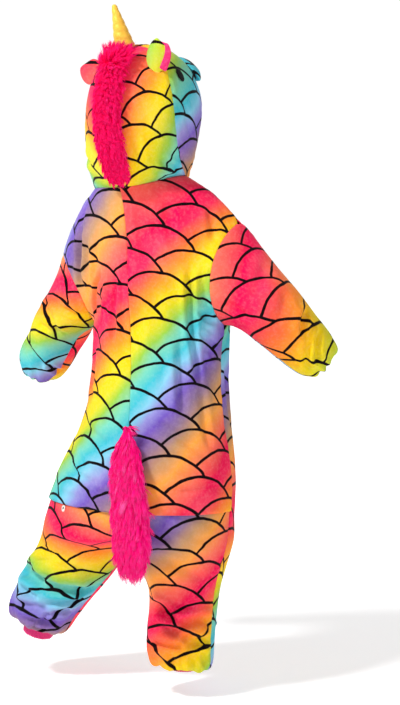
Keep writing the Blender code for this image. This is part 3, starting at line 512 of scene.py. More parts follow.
# The same on sides that the photo doesn't show, from place to place in millimetres of the frame.
PlacedCrease = namedtuple("PlacedCrease", "x1 y1 z1 x2 y2 z2 wide deep bow")
PLACED_CREASES = (
    (-62, -125, -150, -70, -128, -300, 7.2, -5.8, 0.03),
    (-88, -112, -170, -92, -112, -290, 8.4, 4.2, 0.03),
    (-112, -84, -220, -104, -100, -330, 7.2, -6.4, 0.04),
    (-40, -142, -330, -52, -140, -470, 8.4, -4.8, 0.03),
    (58, -128, -160, 64, -130, -310, 7.2, -5.4, -0.03),
    (88, -112, -180, 92, -110, -280, 8.4, 3.8, 0.04),
    (112, -84, -230, 108, -98, -340, 7.2, -6.4, -0.04),
    (52, -142, -340, 70, -136, -480, 8.4, -4.8, 0.04),
    (100, -110, -420, 150, -90, -500, 8.4, -5.1, 0.06),
    (120, -100, -480, 190, -70, -560, 8.4, -5.4, 0.06),
    (-60, -130, -560, -128, -80, -545, 7.2, -4.5, 0.05),
    (-16, -90, -640, -112, -80, -660, 8.4, -4.2, 0.05),
    (-6, -84, -728, -108, -70, -716, 6.0, -8.0, 0.06),
    (-4, -78, -752, -112, -60, -744, 6.0, -7.4, -0.05),
    (-2, -74, -776, -112, -56, -774, 6.0, -8.0, 0.05),
    (-6, -66, -800, -108, -52, -802, 4.8, -6.7, 0.05),
    (118, -92, -690, 226, -84, -650, 7.2, -7.0, 0.06),
    (140, -86, -722, 262, -72, -690, 6.0, -8.0, 0.05),
    (160, -78, -748, 282, -60, -722, 6.0, -7.7, -0.05),
    (184, -66, -772, 296, -46, -748, 4.8, -6.7, 0.05),
    (4, 10, -700, -2, -50, -704, 6.0, -5.8, 0.05),
    (118, -10, -706, 140, 30, -716, 6.0, -5.8, 0.05),
    (-120, 20, -330, -126, 16, -450, 7.2, -4.8, 0.03),
    (-124, -60, -300, -124, -70, -420, 7.2, -5.1, 0.03),
    (126, -60, -300, 140, -70, -430, 7.2, -5.1, -0.03),
    (150, 10, -420, 186, 6, -520, 7.2, -4.8, 0.04),
    (-200, -90, -150, -214, -130, -240, 7.2, -5.1, 0.05),
    (-236, -130, -220, -226, -150, -290, 6.0, -6.1, 0.05),
    (-180, -110, -160, -200, -140, -230, 7.2, -4.2, 0.05),
    (236, -100, -220, 222, -112, -290, 6.0, -5.8, 0.05),
    (206, -96, -180, 214, -106, -250, 7.2, -4.5, 0.05),
    (90, 50, 60, 60, 90, 40, 6.0, -4.8, 0.05),
    (84, 10, 90, 76, 0, 30, 7.2, -3.5, 0.05),
    (-60, -20, 40, -40, -44, 20, 6.0, -3.8, 0.05),
    (60, -20, 60, 48, -46, 30, 6.0, -3.8, 0.05),
)


# A crease's banks rise by this share of its depth, this many widths away from its middle.
BANKS, BANKS_AWAY = 0.42, 2.0
CREASE_MARGIN = 4
CREASE_TAPER = 4.5


def crease_height(points, line, wide, deep):
    """How far one crease moves each point along its normal: a trough or ridge with soft banks."""
    low = line.min(axis=0) - CREASE_MARGIN * wide
    high = line.max(axis=0) + CREASE_MARGIN * wide
    near = np.nonzero(np.all((points > low) & (points < high), axis=1))[0]
    height = np.zeros(len(points))
    if not len(near):
        return height
    p = points[near]
    best, along = np.full(len(p), 1e9), np.zeros(len(p))
    for i in range(len(line) - 1):
        step = line[i + 1] - line[i]
        t = np.clip(((p - line[i]) @ step) / max(step @ step, 1e-12), 0, 1)
        away = np.linalg.norm(p - line[i] - t[:, None] * step, axis=1)
        closer = away < best
        best[closer] = away[closer]
        along[closer] = (i + t[closer]) / (len(line) - 1)
    taper = np.clip(np.minimum(along, 1 - along) * CREASE_TAPER, 0, 1)
    taper = taper * taper * (3 - 2 * taper)
    x = best / wide
    bank = BANKS * np.exp(-((x - BANKS_AWAY) ** 2))
    height[near] = deep * taper * (np.exp(-x * x) - bank)
    return height


# %% [markdown]
# ## From skin to cloth
#
# Subdividing turns the skin's 25 mm faces into 3 mm ones. The rims of neighbouring panels are
# drawn together, so that they meet as at a seam. Then each point is moved along its normal: into
# the troughs, down into the sewn seams, in and out where elastic gathers an end, and a little at
# random, because filled cloth is never quite smooth. A wall of 2 mm turns the skin into cloth
# with a face and a paler back.

# %% Shape the cloth
CLOTH = 0.0020
SEAM_DIP = 0.0013
SEAM_REACH = 0.0045
PUCKER = 0.0011
PUCKER_REACH = 0.016
PUCKER_WAVES = 85
# No fold is deeper than this, and near a seam only a share of its depth is left.
FOLD_MOST = 0.0095
FOLD_FADE = 0.015
FOLD_LEFT = 0.12
# Slow random waves, longer down the suit than across it: noise by place, and its height.
Wave = namedtuple("Wave", "across down shift high")
WAVES = (Wave(17, 8, 0, 0.0016), Wave(46, 34, 9, 0.0006))
# What makes the pleats of a gathered end uneven: sine waves round it.
Pleat = namedtuple("Pleat", "strong count turn")
PLEATS = (Pleat(1.3, 2, 0.7), Pleat(0.8, 3, 0), Pleat(0.5, 5, 2))
PLEAT_SIZE, PLEAT_CHANGE = 0.80, 0.40


def noise_at(points, waves):
    """Random waves, so many to a metre, read at each point."""
    return np.array([noise.noise(Vector(tuple(p * waves))) for p in points])


def rim_edges(piece):
    """The edges of a panel's rim, each as the numbers of its two points."""
    mesh = piece.data
    uses = np.bincount(read(mesh.loops, "edge_index", kind=int), minlength=len(mesh.edges))
    return read(mesh.edges, "vertices", 2, int)[uses == 1]


def unit(vectors):
    return vectors / np.maximum(np.linalg.norm(vectors, axis=1), 1e-9)[:, None]


def along_rim(piece):
    """For each point of a rim, the matrix that leaves of a step only its part along the rim."""
    ends, points = rim_edges(piece), points_of(piece)
    step = unit(points[ends[:, 1]] - points[ends[:, 0]])
    spread = np.zeros((len(points), 3, 3))
    for column in (0, 1):
        np.add.at(spread, ends[:, column], step[:, :, None] * step[:, None, :])
    spread = spread[np.unique(ends)]
    return spread / np.trace(spread, axis1=1, axis2=2)[:, None, None]


def tree_of(places):
    tree = KDTree(len(places))
    for i, place in enumerate(places):
        tree.insert(place, i)
    tree.balance()
    return tree


def rim_distance(piece, points, lowest):
    """How far each point is from the panel's sewn rim, which lies above the height `lowest`."""
    places = []
    for a, b in rim_edges(piece):
        middle = (points[a] + points[b]) / 2
        if middle[2] > lowest:
            places += [points[a], middle, points[b]]
    tree = tree_of(places)
    return np.array([tree.find(p)[2] for p in points])


Rim = namedtuple("Rim", "tree out pull")
RIM_APART = 0.0040
RIM_BLEND = 0.012
RIM_PULL = 0.42


def sewn_rims(pieces):
    """Each panel's rim, with the normals it shares with the rims beside it and the way to them."""
    ids = {name: np.unique(rim_edges(piece)) for name, piece in pieces.items()}
    places = {name: points_of(pieces[name])[ids[name]] for name in pieces}
    outs = {name: normals_of(pieces[name])[ids[name]] for name in pieces}
    trees = {name: tree_of(places[name]) for name in pieces}
    rims = {}
    for name in pieces:
        out, pull = outs[name].copy(), np.zeros_like(outs[name])
        for i, place in enumerate(places[name]):
            beside = []
            for other, tree in trees.items():
                found, k, gap = tree.find(place)
                if other != name and gap < RIM_APART:
                    out[i] += outs[other][k]
                    beside.append(np.array(found) - place)
            if beside:
                pull[i] = min(beside, key=np.linalg.norm)
        pull -= np.einsum("nij,nj->ni", along_rim(pieces[name]), pull)
        rims[name] = Rim(trees[name], unit(out), pull * RIM_PULL)
    return rims


def gathered(points, centre, axis, waves, deep, reach):
    """Waves round an end that elastic draws in, fading along the piece."""
    axis = axis.normalized()
    first = axis.orthogonal().normalized()
    second = axis.cross(first)
    offset = points - np.array(centre)
    angle = np.arctan2(offset @ np.array(second), offset @ np.array(first))
    back = np.abs(offset @ np.array(axis))
    uneven = sum(pleat.strong * np.sin(pleat.count * angle + pleat.turn) for pleat in PLEATS)
    size = PLEAT_SIZE + PLEAT_CHANGE * np.sin(4 * angle + 1.3)
    return deep * size * np.cos(waves * angle + uneven) * np.exp(-((back / reach) ** 2))


def unevenness(points):
    """The height of the random waves at each point."""
    height = np.zeros(len(points))
    for i, (x, y, z) in enumerate(points):
        for wave in WAVES:
            place = (x * wave.across + wave.shift, y * wave.across, z * wave.down)
            height[i] += wave.high * noise.noise(Vector(place))
    return height


def sewn_on(rim, points, out):
    """Points drawn to the rims beside their own, and normals that turn to those the rims share."""
    points = points.copy()
    for i, point in enumerate(points):
        _, k, gap = rim.tree.find(point)
        if gap < RIM_BLEND:
            share = (1 - gap / RIM_BLEND) ** 2
            out[i] += (rim.out[k] - out[i]) * share
            points[i] = point + rim.pull[k] * share * share
    return points, unit(out)


def ruffled(piece, node, rim, lowest, ends):
    """Moves the skin's points into all its creases, seams and gathers."""
    points, out = sewn_on(rim, points_of(piece), normals_of(piece))
    height = unevenness(points)
    faces = [tuple(face.vertices) for face in piece.data.polygons]
    tree = BVHTree.FromPolygons([Vector(p) for p in points], faces)
    for name, line, wide, deep in CREASE_LINES:
        if name == node:
            on_cloth = np.array([tuple(tree.find_nearest(p)[0]) for p in line])
            height += crease_height(points, on_cloth, wide, deep)
    height = FOLD_MOST * np.tanh(height / FOLD_MOST)
    away = rim_distance(piece, points, lowest)
    height *= np.clip(away / FOLD_FADE, FOLD_LEFT, 1)
    height -= SEAM_DIP * np.exp(-((away / SEAM_REACH) ** 2))
    pucker = noise_at(points, PUCKER_WAVES)
    height += PUCKER * pucker * np.exp(-((away / PUCKER_REACH) ** 2))
    for centre, axis, waves, deep, reach in ends:
        height += gathered(points, centre, axis, waves, deep, reach)
    move_points(piece, points + out * height[:, None])


def as_cloth(piece):
    """Gives the skin its thickness, inwards."""
    applied(piece, "SOLIDIFY", thickness=CLOTH, offset=-1.0, use_rim=True, material_offset=1)


# %% Build the panels
Panel = namedtuple("Panel", "node levels grain")


def upright(points):
    return points[:, 2]


def towards_shoulder(node):
    """The grain of a sleeve: up its length, from the wrist to the armhole."""
    low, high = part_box(node)
    sign = 1 if "left" in node else -1
    wrist = Vector((high.x if sign > 0 else low.x, low.y, low.z))
    shoulder = Vector((low.x if sign > 0 else high.x, high.y, high.z))
    axis = np.array((shoulder - wrist).normalized())
    return lambda points: points @ axis


PANELS = [
    Panel(part + side, 3, towards_shoulder(part + side) if part == "sleeve_" else upright)
    for part in ("back_", "seat_", "sleeve_", "front_", "face_", "hood_")
    for side in ("left", "right")
]
PANELS.append(Panel("placket", 2, upright))

# A sleeve is cut open from the foot of its armhole to the underside of its wrist.
ARMHOLE_Y, ARMHOLE_Z = -0.036, -0.24
WRIST_SHARE, WRIST_IN = 0.96, 0.05

skins, cuts = {}, {}
for panel in PANELS:
    skin = copied(panel.node, panel.node + "_cloth", skin=True)
    if panel.node.startswith("sleeve"):
        low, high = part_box(panel.node)
        edge = low.x if "left" in panel.node else high.x
        tip = high.x if "left" in panel.node else low.x
        armhole = Vector((edge, ARMHOLE_Y, ARMHOLE_Z))
        wrist = Vector((tip * WRIST_SHARE, low.y + WRIST_IN, low.z))
        cut_open(skin, armhole, wrist)
    cuts[panel.node] = lay_flat(skin, panel.grain)
    skins[panel.node] = skin
    width, length, area = cuts[panel.node]
    print(f"{panel.node}: cut {width:.3f} x {length:.3f} m, {area:.4f} m2 of cloth")

# %% Follow the creases from the photo to the cloth
MM = 0.001
CREASE_POINTS = 13


def bowed(start, end, bow):
    """Points from start to end in a plane, sagging sideways by `bow` of the length."""
    start, end = Vector(start), Vector(end)
    side = Vector((-(end - start).y, (end - start).x))
    steps = [i / (CREASE_POINTS - 1) for i in range(CREASE_POINTS)]
    return [start.lerp(end, t) + side * bow * 4 * t * (1 - t) for t in steps]


CREASE_LINES = []
for node, rows in SEEN_CREASES.items():
    for crease in map(SeenCrease._make, rows):
        pixels = bowed((crease.x1, crease.y1), (crease.x2, crease.y2), crease.bow)
        line = [photo_hit(skins, p.x, p.y, node)[0] for p in pixels]
        CREASE_LINES.append((node, line, crease.wide * MM, crease.deep * MM))
for crease in map(PlacedCrease._make, PLACED_CREASES):
    start = Vector((crease.x1, crease.y1, crease.z1)) * MM
    end = Vector((crease.x2, crease.y2, crease.z2)) * MM
    node = min(skins, key=lambda n: min((v.co - start).length for v in skins[n].data.vertices))
    outward = start - Vector((0, 0, start.z))
    side = (end - start).cross(outward.normalized()) * crease.bow * 4
    steps = [i / (CREASE_POINTS - 1) for i in range(CREASE_POINTS)]
    line = [start.lerp(end, t) + side * t * (1 - t) for t in steps]
    CREASE_LINES.append((node, line, crease.wide * MM, crease.deep * MM))
print(len(CREASE_LINES), "creases are laid on the suit")

# %% Set the print on each panel
# Panels that the photo hides carry the same cloth: where their rainbow starts, in turns, and how
# it runs across and down, in turns a metre. The crown of a scale lies `shift` off their middle.
Hidden = namedtuple("Hidden", "node start across down shift_u shift_v")
HIDDEN = (
    Hidden("front_left", 0.30, -1.5, 1.8, 0.020, 0.010),
    Hidden("front_right", 0.85, 1.6, 1.8, -0.012, 0.000),
    Hidden("face_left", 0.45, -1.4, 1.8, 0.010, 0.012),
    Hidden("hood_left", 0.20, -1.5, 1.9, 0.000, 0.006),
    Hidden("placket", 0.60, -1.5, 1.8, 0.004, 0.012),
)


def write_rainbow(piece, turns):
    """Writes where each corner lies in the rainbow, in turns, to a UV map."""
    layer = piece.data.uv_layers.new(name="rainbow")
    layer.data.foreach_set("uv", np.c_[turns, np.full(len(turns), 0.5)].ravel())


def set_print(piece, laid, slope, early=1.0):
    """Writes two UV maps: scales, in metres from a crown, and rainbow, in turns."""
    uv = np.c_[flat_of(piece), np.ones(len(piece.data.loops))]
    turns = uv @ np.array(slope)
    turns = np.where(turns < 0, turns * early, turns)
    piece.data.uv_layers["flat"].data.foreach_set("uv", (uv @ laid).ravel())
    piece.data.uv_layers["flat"].name = "scales"
    write_rainbow(piece, turns)


# How strongly the print keeps its own size where several crowns would stretch or turn it.
PRINT_STIFF = 0.02


def laid_print(places, crowns):
    """The map from the flat panel to the print that brings its crowns nearest to those seen."""
    table = np.array([(*place, 1.0) for place in places])
    wanted = np.array([(crown.column * SCALE_WIDE, crown.row * SCALE_RISE) for crown in crowns])
    stiff = PRINT_STIFF * np.eye(3)[:2]
    rows = np.r_[table - table.mean(axis=0), stiff]
    goal = np.r_[wanted - wanted.mean(axis=0), stiff[:, :2]]
    turn = np.linalg.lstsq(rows[:, :2], goal, rcond=None)[0]
    shift = wanted.mean(axis=0) - table.mean(axis=0)[:2] @ turn
    return np.r_[turn, shift[None]]


for cut in PRINTS:
    skin = skins[cut.node]
    places = [flat_place(skin, *photo_hit(skins, crown.x, crown.y, cut.node)) for crown in cut.crowns]
    laid = laid_print(places, cut.crowns)
    table, wanted = [], []
    for seen in cut.seen:
        u, v = flat_place(skin, *photo_hit(skins, seen.x, seen.y, cut.node))
        table.append((u, v, 1.0))
        wanted.append(seen.colour + seen.turns)
    slope = np.linalg.lstsq(np.array(table), np.array(wanted), rcond=None)[0]
    error = np.array(table) @ slope - np.array(wanted)
    set_print(skin, laid, slope, cut.early)
    print(f"{cut.node}: print laid by {[round(float(x), 2) for x in laid.ravel()]}")
    print(f"{cut.node}: rainbow runs {slope[0]:.2f} across, {slope[1]:.2f} up")
    print(f"{cut.node}: its colours are off by {abs(error).max():.2f} turns at most")
for cut in HIDDEN:
    laid = np.array([(1, 0), (0, 1), (-cut.shift_u, -cut.shift_v)])
    set_print(skins[cut.node], laid, (cut.across, -cut.down, cut.start))

# %% Subdivide, crease and thicken
WRIST_WAVES, ANKLE_WAVES = 9, 7
WRIST_DEEP, ANKLE_DEEP = 0.0026, 0.0026
GATHER_REACH = 0.034
# A rim is free or gathered below these heights: the flap's hem, the legs' ends, and a wrist's end
# above the sleeve's lowest point. Above them it is sewn.
HEM_HEIGHT = -0.535
LEG_HEIGHT = {"left": -0.765, "right": -0.805}
WRIST_HEIGHT = 0.055
# The middle of each gathered wrist, and the way in which the arm points there.
Wrist = namedtuple("Wrist", "middle along")
WRISTS = {
    "left": Wrist(Vector((0.282, -0.078, -0.332)), Vector((0.42, -0.27, -0.86))),
    "right": Wrist(Vector((-0.263, -0.141, -0.299)), Vector((-0.45, -0.64, -0.62))),
}


def sewn_above(node):
    """The height above which a panel's rim is sewn."""
    if node.startswith("back"):
        return HEM_HEIGHT
    if node.startswith("sleeve"):
        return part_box(node)[0].z + WRIST_HEIGHT
    if node.startswith(("seat", "front")):
        return LEG_HEIGHT["left" if "left" in node else "right"]
    return -math.inf


ENDS = {}
for side in ("left", "right"):
    wrist = WRISTS[side]
    ENDS["sleeve_" + side] = ((wrist.middle, wrist.along, WRIST_WAVES, WRIST_DEEP, GATHER_REACH),)
    low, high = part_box("ankle_cuff_" + side)
    ankle = Vector(((low.x + high.x) / 2, (low.y + high.y) / 2, high.z))
    for panel_name in ("seat_", "front_"):
        up = Vector((0, 0, 1))
        ENDS[panel_name + side] = ((ankle, up, ANKLE_WAVES, ANKLE_DEEP, GATHER_REACH),)

for panel in PANELS:
    levels = panel.levels
    applied(
        skins[panel.node], "SUBSURF", levels=levels, render_levels=levels,
        boundary_smooth="PRESERVE_CORNERS",
    )
rims = sewn_rims(skins)
cloth = {}
for panel in PANELS:
    piece = skins[panel.node]
    ruffled(piece, panel.node, rims[panel.node], sewn_above(panel.node), ENDS.get(panel.node, ()))
    as_cloth(piece)
    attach(piece, "root")
    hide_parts(panel.node)
    width, length, area = cuts[panel.node]
    share = min(1.0, area / (width * length))
    share * width * length
    cloth[panel.node] = piece
print("cloth faces:", sum(len(p.data.polygons) for p in cloth.values()))

# %% [markdown]
# ## A small language for shaders
#
# Node trees are easier to read as sums. `Wire` wraps a socket, so that `1 - mask` adds a Math
# node, and `Sheet` makes every other node from its type, its settings and its inputs.


# %% Wires and sheets
class Wire:
    """A shader socket that can be used in sums."""

    def __init__(self, tree, socket):
        self.tree, self.socket = tree, socket

    def math(self, operation, *others):
        node = self.tree.nodes.new("ShaderNodeMath")
        node.operation = operation
        for slot, value in enumerate((self, *others)):
            if isinstance(value, Wire):
                self.tree.links.new(value.socket, node.inputs[slot])
            else:
                node.inputs[slot].default_value = value
        return Wire(self.tree, node.outputs[0])

    def __add__(self, other):
        return self.math("ADD", other)

    def __sub__(self, other):
        return self.math("SUBTRACT", other)

    def __mul__(self, other):
        return self.math("MULTIPLY", other)

    def __truediv__(self, other):
        return self.math("DIVIDE", other)

    __radd__, __rmul__ = __add__, __mul__

    def __rsub__(self, other):
        return (self * -1) + other

    def held(self):
        """Clamped to the range from 0 to 1."""
        return self.math("MAXIMUM", 0.0).math("MINIMUM", 1.0)

    def root(self):
        return self.math("SQRT")


class Sheet:
    """One material's node tree."""

    def __init__(self, name, roughness=0.9, sheen=0.0, **fixed):
        self.material = bpy.data.materials.new(name)
        self.material.use_nodes = True
        self.tree = self.material.node_tree
        self.shader = self.tree.nodes["Principled BSDF"]
        self.shader.inputs["Roughness"].default_value = roughness
        self.shader.inputs["Sheen Weight"].default_value = sheen
        self.shader.inputs["Sheen Roughness"].default_value = 0.45
        for socket, value in fixed.items():
            self.shader.inputs[socket.replace("_", " ")].default_value = value

    def node(self, kind, settings=(), **values):
        """Adds a node: its settings first, then the values or links of its sockets."""
        node = self.tree.nodes.new("ShaderNode" + kind)
        for name, value in dict(settings).items():
            setattr(node, name, value)
        for name, value in values.items():
            socket = node.inputs[int(name[1:]) if name[1:].isdigit() else name.replace("_", " ")]
            if isinstance(value, Wire):
                self.tree.links.new(value.socket, socket)
            else:
                socket.default_value = value
        return node

    def out(self, node, name=0):
        return Wire(self.tree, node.outputs[name])

    def uv(self, layer):
        return self.out(self.node("UVMap", {"uv_map": layer}))

    def place(self):
        return self.out(self.node("TexCoord"), "Object")

    def split(self, vector):
        parts = self.node("SeparateXYZ", Vector=vector)
        return self.out(parts, 0), self.out(parts, 1)

    def grain(self, where, scale, detail=2.0, rough=0.5):
        node = self.node("TexNoise", Vector=where, Scale=scale, Detail=detail, Roughness=rough)
        return self.out(node, 0)

    def mix(self, share, first, second):
        """A colour between two colours."""
        node = self.node("Mix", {"data_type": "RGBA"}, _0=share, _6=first, _7=second)
        return self.out(node, 2)

    def ramp(self, share, stops):
        node = self.node("ValToRGB", _0=share)
        ramp = node.color_ramp
        while len(ramp.elements) < len(stops):
            ramp.elements.new(1.0)
        for element, (place, colour) in zip(ramp.elements, stops):
            element.position = place
            element.color = colour
        return self.out(node, 0)

    def colour(self, wire):
        self.tree.links.new(wire.socket, self.shader.inputs["Base Color"])

    def rough(self, wire):
        self.tree.links.new(wire.socket, self.shader.inputs["Roughness"])

    def bump(self, height, metres, strength=0.6):
        node = self.node("Bump", Height=height, Distance=metres, Strength=strength)
        self.tree.links.new(node.outputs[0], self.shader.inputs["Normal"])


def paint(red, green, blue):
    """A colour as a screen shows it, 0 to 255, turned into light."""
    light = []
    for shade in (red, green, blue):
        share = shade / 255
        light.append(share / 12.92 if shade < 10.3 else ((share + 0.055) / 1.055) ** 2.4)
    return (*light, 1.0)


# %% [markdown]
# ## The print
#
# Each fish scale is a disc whose crown shows above the scales below it. Rows stand 39 mm apart
# and every other row is shifted by half a scale. At any point only four discs can be on top: a
# left and a right one in the lowest row that reaches the point, and the same in the row above.
# The first of them that covers the point decides, and the black line is that disc's edge.

# %% Draw the scales and the rainbow
RAINBOW = (
    (0.00, paint(240, 0, 78)),
    (0.06, paint(248, 40, 88)),
    (0.12, paint(250, 100, 62)),
    (0.18, paint(252, 148, 38)),
    (0.25, paint(242, 204, 16)),
    (0.31, paint(212, 206, 34)),
    (0.36, paint(146, 194, 66)),
    (0.42, paint(112, 202, 178)),
    (0.48, paint(60, 184, 200)),
    (0.53, paint(128, 196, 222)),
    (0.58, paint(142, 140, 206)),
    (0.63, paint(112, 84, 184)),
    (0.70, paint(140, 112, 142)),
    (0.76, paint(188, 142, 100)),
    (0.83, paint(246, 160, 64)),
    (0.92, paint(250, 104, 84)),
    (1.00, paint(240, 0, 78)),
)
INK = paint(9, 2, 6)
LINE_SOFT = 0.0009


def disc_edge(across, below):
    """How deep a point lies inside one scale's disc, from its distances to the disc's centre."""
    return SCALE_RADIUS - (across * across + below * below).root()


def row_of_scales(u, row, depth):
    """Cover and line of a row's left disc over its right one, at a depth below its crowns."""
    shifted = u + row.math("MODULO", 2.0) * (SCALE_WIDE / 2)
    left = shifted.math("FLOORED_MODULO", SCALE_WIDE)
    below = SCALE_RADIUS - depth
    cover, line = None, None
    for across in (left - SCALE_WIDE, left):
        inside = disc_edge(across, below)
        covers = ((inside + SCALE_LINE / 2) / LINE_SOFT + 0.5).held()
        drawn = ((SCALE_LINE / 2 - inside) / LINE_SOFT + 0.5).held()
        if cover is None:
            cover, line = covers, drawn
        else:
            line = line * (1 - covers) + drawn * covers
            cover = cover.math("MAXIMUM", covers)
    return cover, line


def scale_lines(sheet):
    """1 on the black lines of the print, 0 between them."""
    u, v = sheet.split(sheet.uv("scales"))
    stray = sheet.grain(sheet.uv("scales"), 34.0)
    u = u + (stray - 0.5) * 0.006
    v = v + (sheet.grain(sheet.uv("scales"), 23.0) - 0.5) * 0.007
    row = ((v - SCALE_LINE / 2) / SCALE_RISE).math("CEIL")
    depth = row * SCALE_RISE - v
    first_cover, first_line = row_of_scales(u, row + 1000.0, depth)
    second_line = row_of_scales(u, row + 1001.0, depth + SCALE_RISE)[1]
    return first_line * first_cover + second_line * (1 - first_cover)


def rainbow(sheet):
    """The dyed colour: the rainbow with blotches like those of a wet brush."""
    turns = sheet.split(sheet.uv("rainbow"))[0]
    blotch = sheet.grain(sheet.uv("scales"), 15.0, 3.0, 0.55)
    turns = turns + (blotch - 0.5) * 0.09
    dye = sheet.ramp(turns.math("FLOORED_MODULO", 1.0), RAINBOW)
    pale = sheet.grain(sheet.uv("scales"), 8.0, 2.0, 0.5)
    return sheet.mix(((pale - 0.56) * 1.5).held() * 0.30, dye, paint(255, 206, 180))


def printed_fleece(name, faded=0.0):
    """Plush fleece with the print. Its back is the same print, washed out."""
    sheet = Sheet(name, roughness=0.9, sheen=0.05, Specular_IOR_Level=0.10)
    dye = rainbow(sheet)
    pile = sheet.grain(sheet.place(), 900.0, 2.0, 0.6)
    tufts = sheet.grain(sheet.place(), 190.0, 3.0, 0.6)
    dye = sheet.mix((tufts - 0.45).held() * 0.22, dye, paint(255, 240, 236))
    dye = sheet.mix(scale_lines(sheet), dye, INK)
    if faded:
        dye = sheet.mix(faded, dye, paint(244, 238, 236))
    sheet.colour(dye)
    sheet.bump(pile * 0.5 + tufts, 0.0011, 0.55)
    return sheet.material


fleece = printed_fleece("printed_fleece")
fleece_back = printed_fleece("fleece_back", faded=0.72)
for piece in cloth.values():
    piece.data.materials.append(fleece)
    piece.data.materials.append(fleece_back)
print("two sides of fleece are ready")

# %% [markdown]
# ## Fur for the mane and the tail
#
# Long-pile fur is a knitted backing with thousands of hairs that cling together in locks. Blender
# has a hair system, but a mesh travels further: each lock here is a thin three-sided spike with
# nine faces. Its root lies on the backing, it leans outwards, then falls, and the mane's locks
# are combed to the right. Neighbouring locks are drawn to the tip of their clump, and that makes
# the dark partings between tufts.


# %% Grow locks on a backing
# Where a carrier holds the backing, it isn't drawn in: so near, and fading over so much.
CARRIER_NEAR, CARRIER_FADE = 0.003, 0.010


def backing_of(node, name, drawn_in, carrier=None):
    """The fur's backing: the solid, smooth and drawn in, except where its carrier holds it."""
    piece = copied(node, name)
    applied(piece, "SUBSURF", levels=2, render_levels=2)
    points = points_of(piece)
    share = np.ones(len(points))
    if carrier is not None:
        share = np.clip((rim_reach(carrier, points) - CARRIER_NEAR) / CARRIER_FADE, 0, 1)
    move_points(piece, points - normals_of(piece) * drawn_in * share[:, None])
    return piece


def rim_reach(carriers, points):
    """How far each point is from the nearest point of the carrying panels."""
    tree = tree_of(np.concatenate([points_of(c) for c in carriers]))
    return np.array([tree.find(p)[2] for p in points])


def scattered(piece, count, rng, keep):
    """Random places on a piece, with their normals, where a test of both holds."""
    mesh = piece.data
    mesh.calc_loop_triangles()
    corners = points_of(piece)[read(mesh.loop_triangles, "vertices", 3, int)]
    cross = np.cross(corners[:, 1] - corners[:, 0], corners[:, 2] - corners[:, 0])
    area = np.linalg.norm(cross, axis=1)
    normal = cross / np.maximum(area, 1e-12)[:, None]
    good = keep(corners.mean(axis=1), normal)
    chance = area * good
    picked = rng.choice(len(area), count, p=chance / chance.sum())
    a, b = rng.random((2, count))
    turn = a + b > 1
    a[turn], b[turn] = 1 - a[turn], 1 - b[turn]
    tri = corners[picked]
    place = tri[:, 0] + a[:, None] * (tri[:, 1] - tri[:, 0]) + b[:, None] * (tri[:, 2] - tri[:, 0])
    return place, normal[picked]


# A lock's rings of three points: how far along it, and how thick it is there.
LOCK_STEPS = ((0.0, 1.0), (0.38, 0.92), (0.74, 0.58))
ELBOW_LEAN, ELBOW_REACH = 0.35, 0.42
LOCK_WAVE = 0.10
# How the locks differ: length, way, share of the way to their clump's tip, and shade.
LENGTH_LEAST, LENGTH_MOST = 0.72, 1.12
LOCK_STRAY, CLUMP_STRAY = 0.20, 0.0012
PULL_LEAST, PULL_MOST = 0.45, 0.8
CLUMP_SHADE, LOCK_SHADE = 0.13, 0.10


def grow(name, roots, normals, tips, shades, thick, rng):
    """One mesh of locks from their roots to their tips, with the UV map fur (shade, way along)."""
    count = len(roots)
    reach = np.linalg.norm(tips - roots, axis=1)[:, None]
    elbow = roots + unit(normals + ELBOW_LEAN * unit(tips - roots)) * reach * ELBOW_REACH
    side = unit(np.cross(tips - roots, normals))
    other = unit(np.cross(side, tips - roots))
    wave = rng.uniform(-LOCK_WAVE, LOCK_WAVE, (count, 1)) * reach * side
    points = []
    for t, size in LOCK_STEPS:
        middle = (1 - t) ** 2 * roots + 2 * t * (1 - t) * elbow + t * t * tips
        middle = middle + wave * math.sin(math.pi * t)
        for k in range(3):
            angle = 2 * math.pi * k / 3
            ring = side * math.cos(angle) + other * math.sin(angle)
            points.append(middle + ring * thick * size)
    points.append(tips)
    points = np.stack(points, axis=1).reshape(-1, 3)
    faces, ways = [], []
    for row in range(2):
        for k in range(3):
            a, b = row * 3 + k, row * 3 + (k + 1) % 3
            faces.append((a, b, b + 3, a + 3))
    for k in range(3):
        faces.append((6 + k, 6 + (k + 1) % 3, 9))
    way = [t for t, size in LOCK_STEPS for k in range(3)] + [1.0]
    all_faces = [tuple(10 * i + c for c in face) for i in range(count) for face in faces]
    mesh = bpy.data.meshes.new(name)
    mesh.from_pydata(points.tolist(), [], all_faces)
    layer = mesh.uv_layers.new(name="fur")
    ways = np.array([way[c] for face in faces for c in face])
    uv = np.c_[np.repeat(shades, len(ways)), np.tile(ways, count)]
    layer.data.foreach_set("uv", uv.ravel())
    mesh.shade_smooth()
    return linked(name, mesh)


Coat = namedtuple("Coat", "locks clumps long thick lean seed")


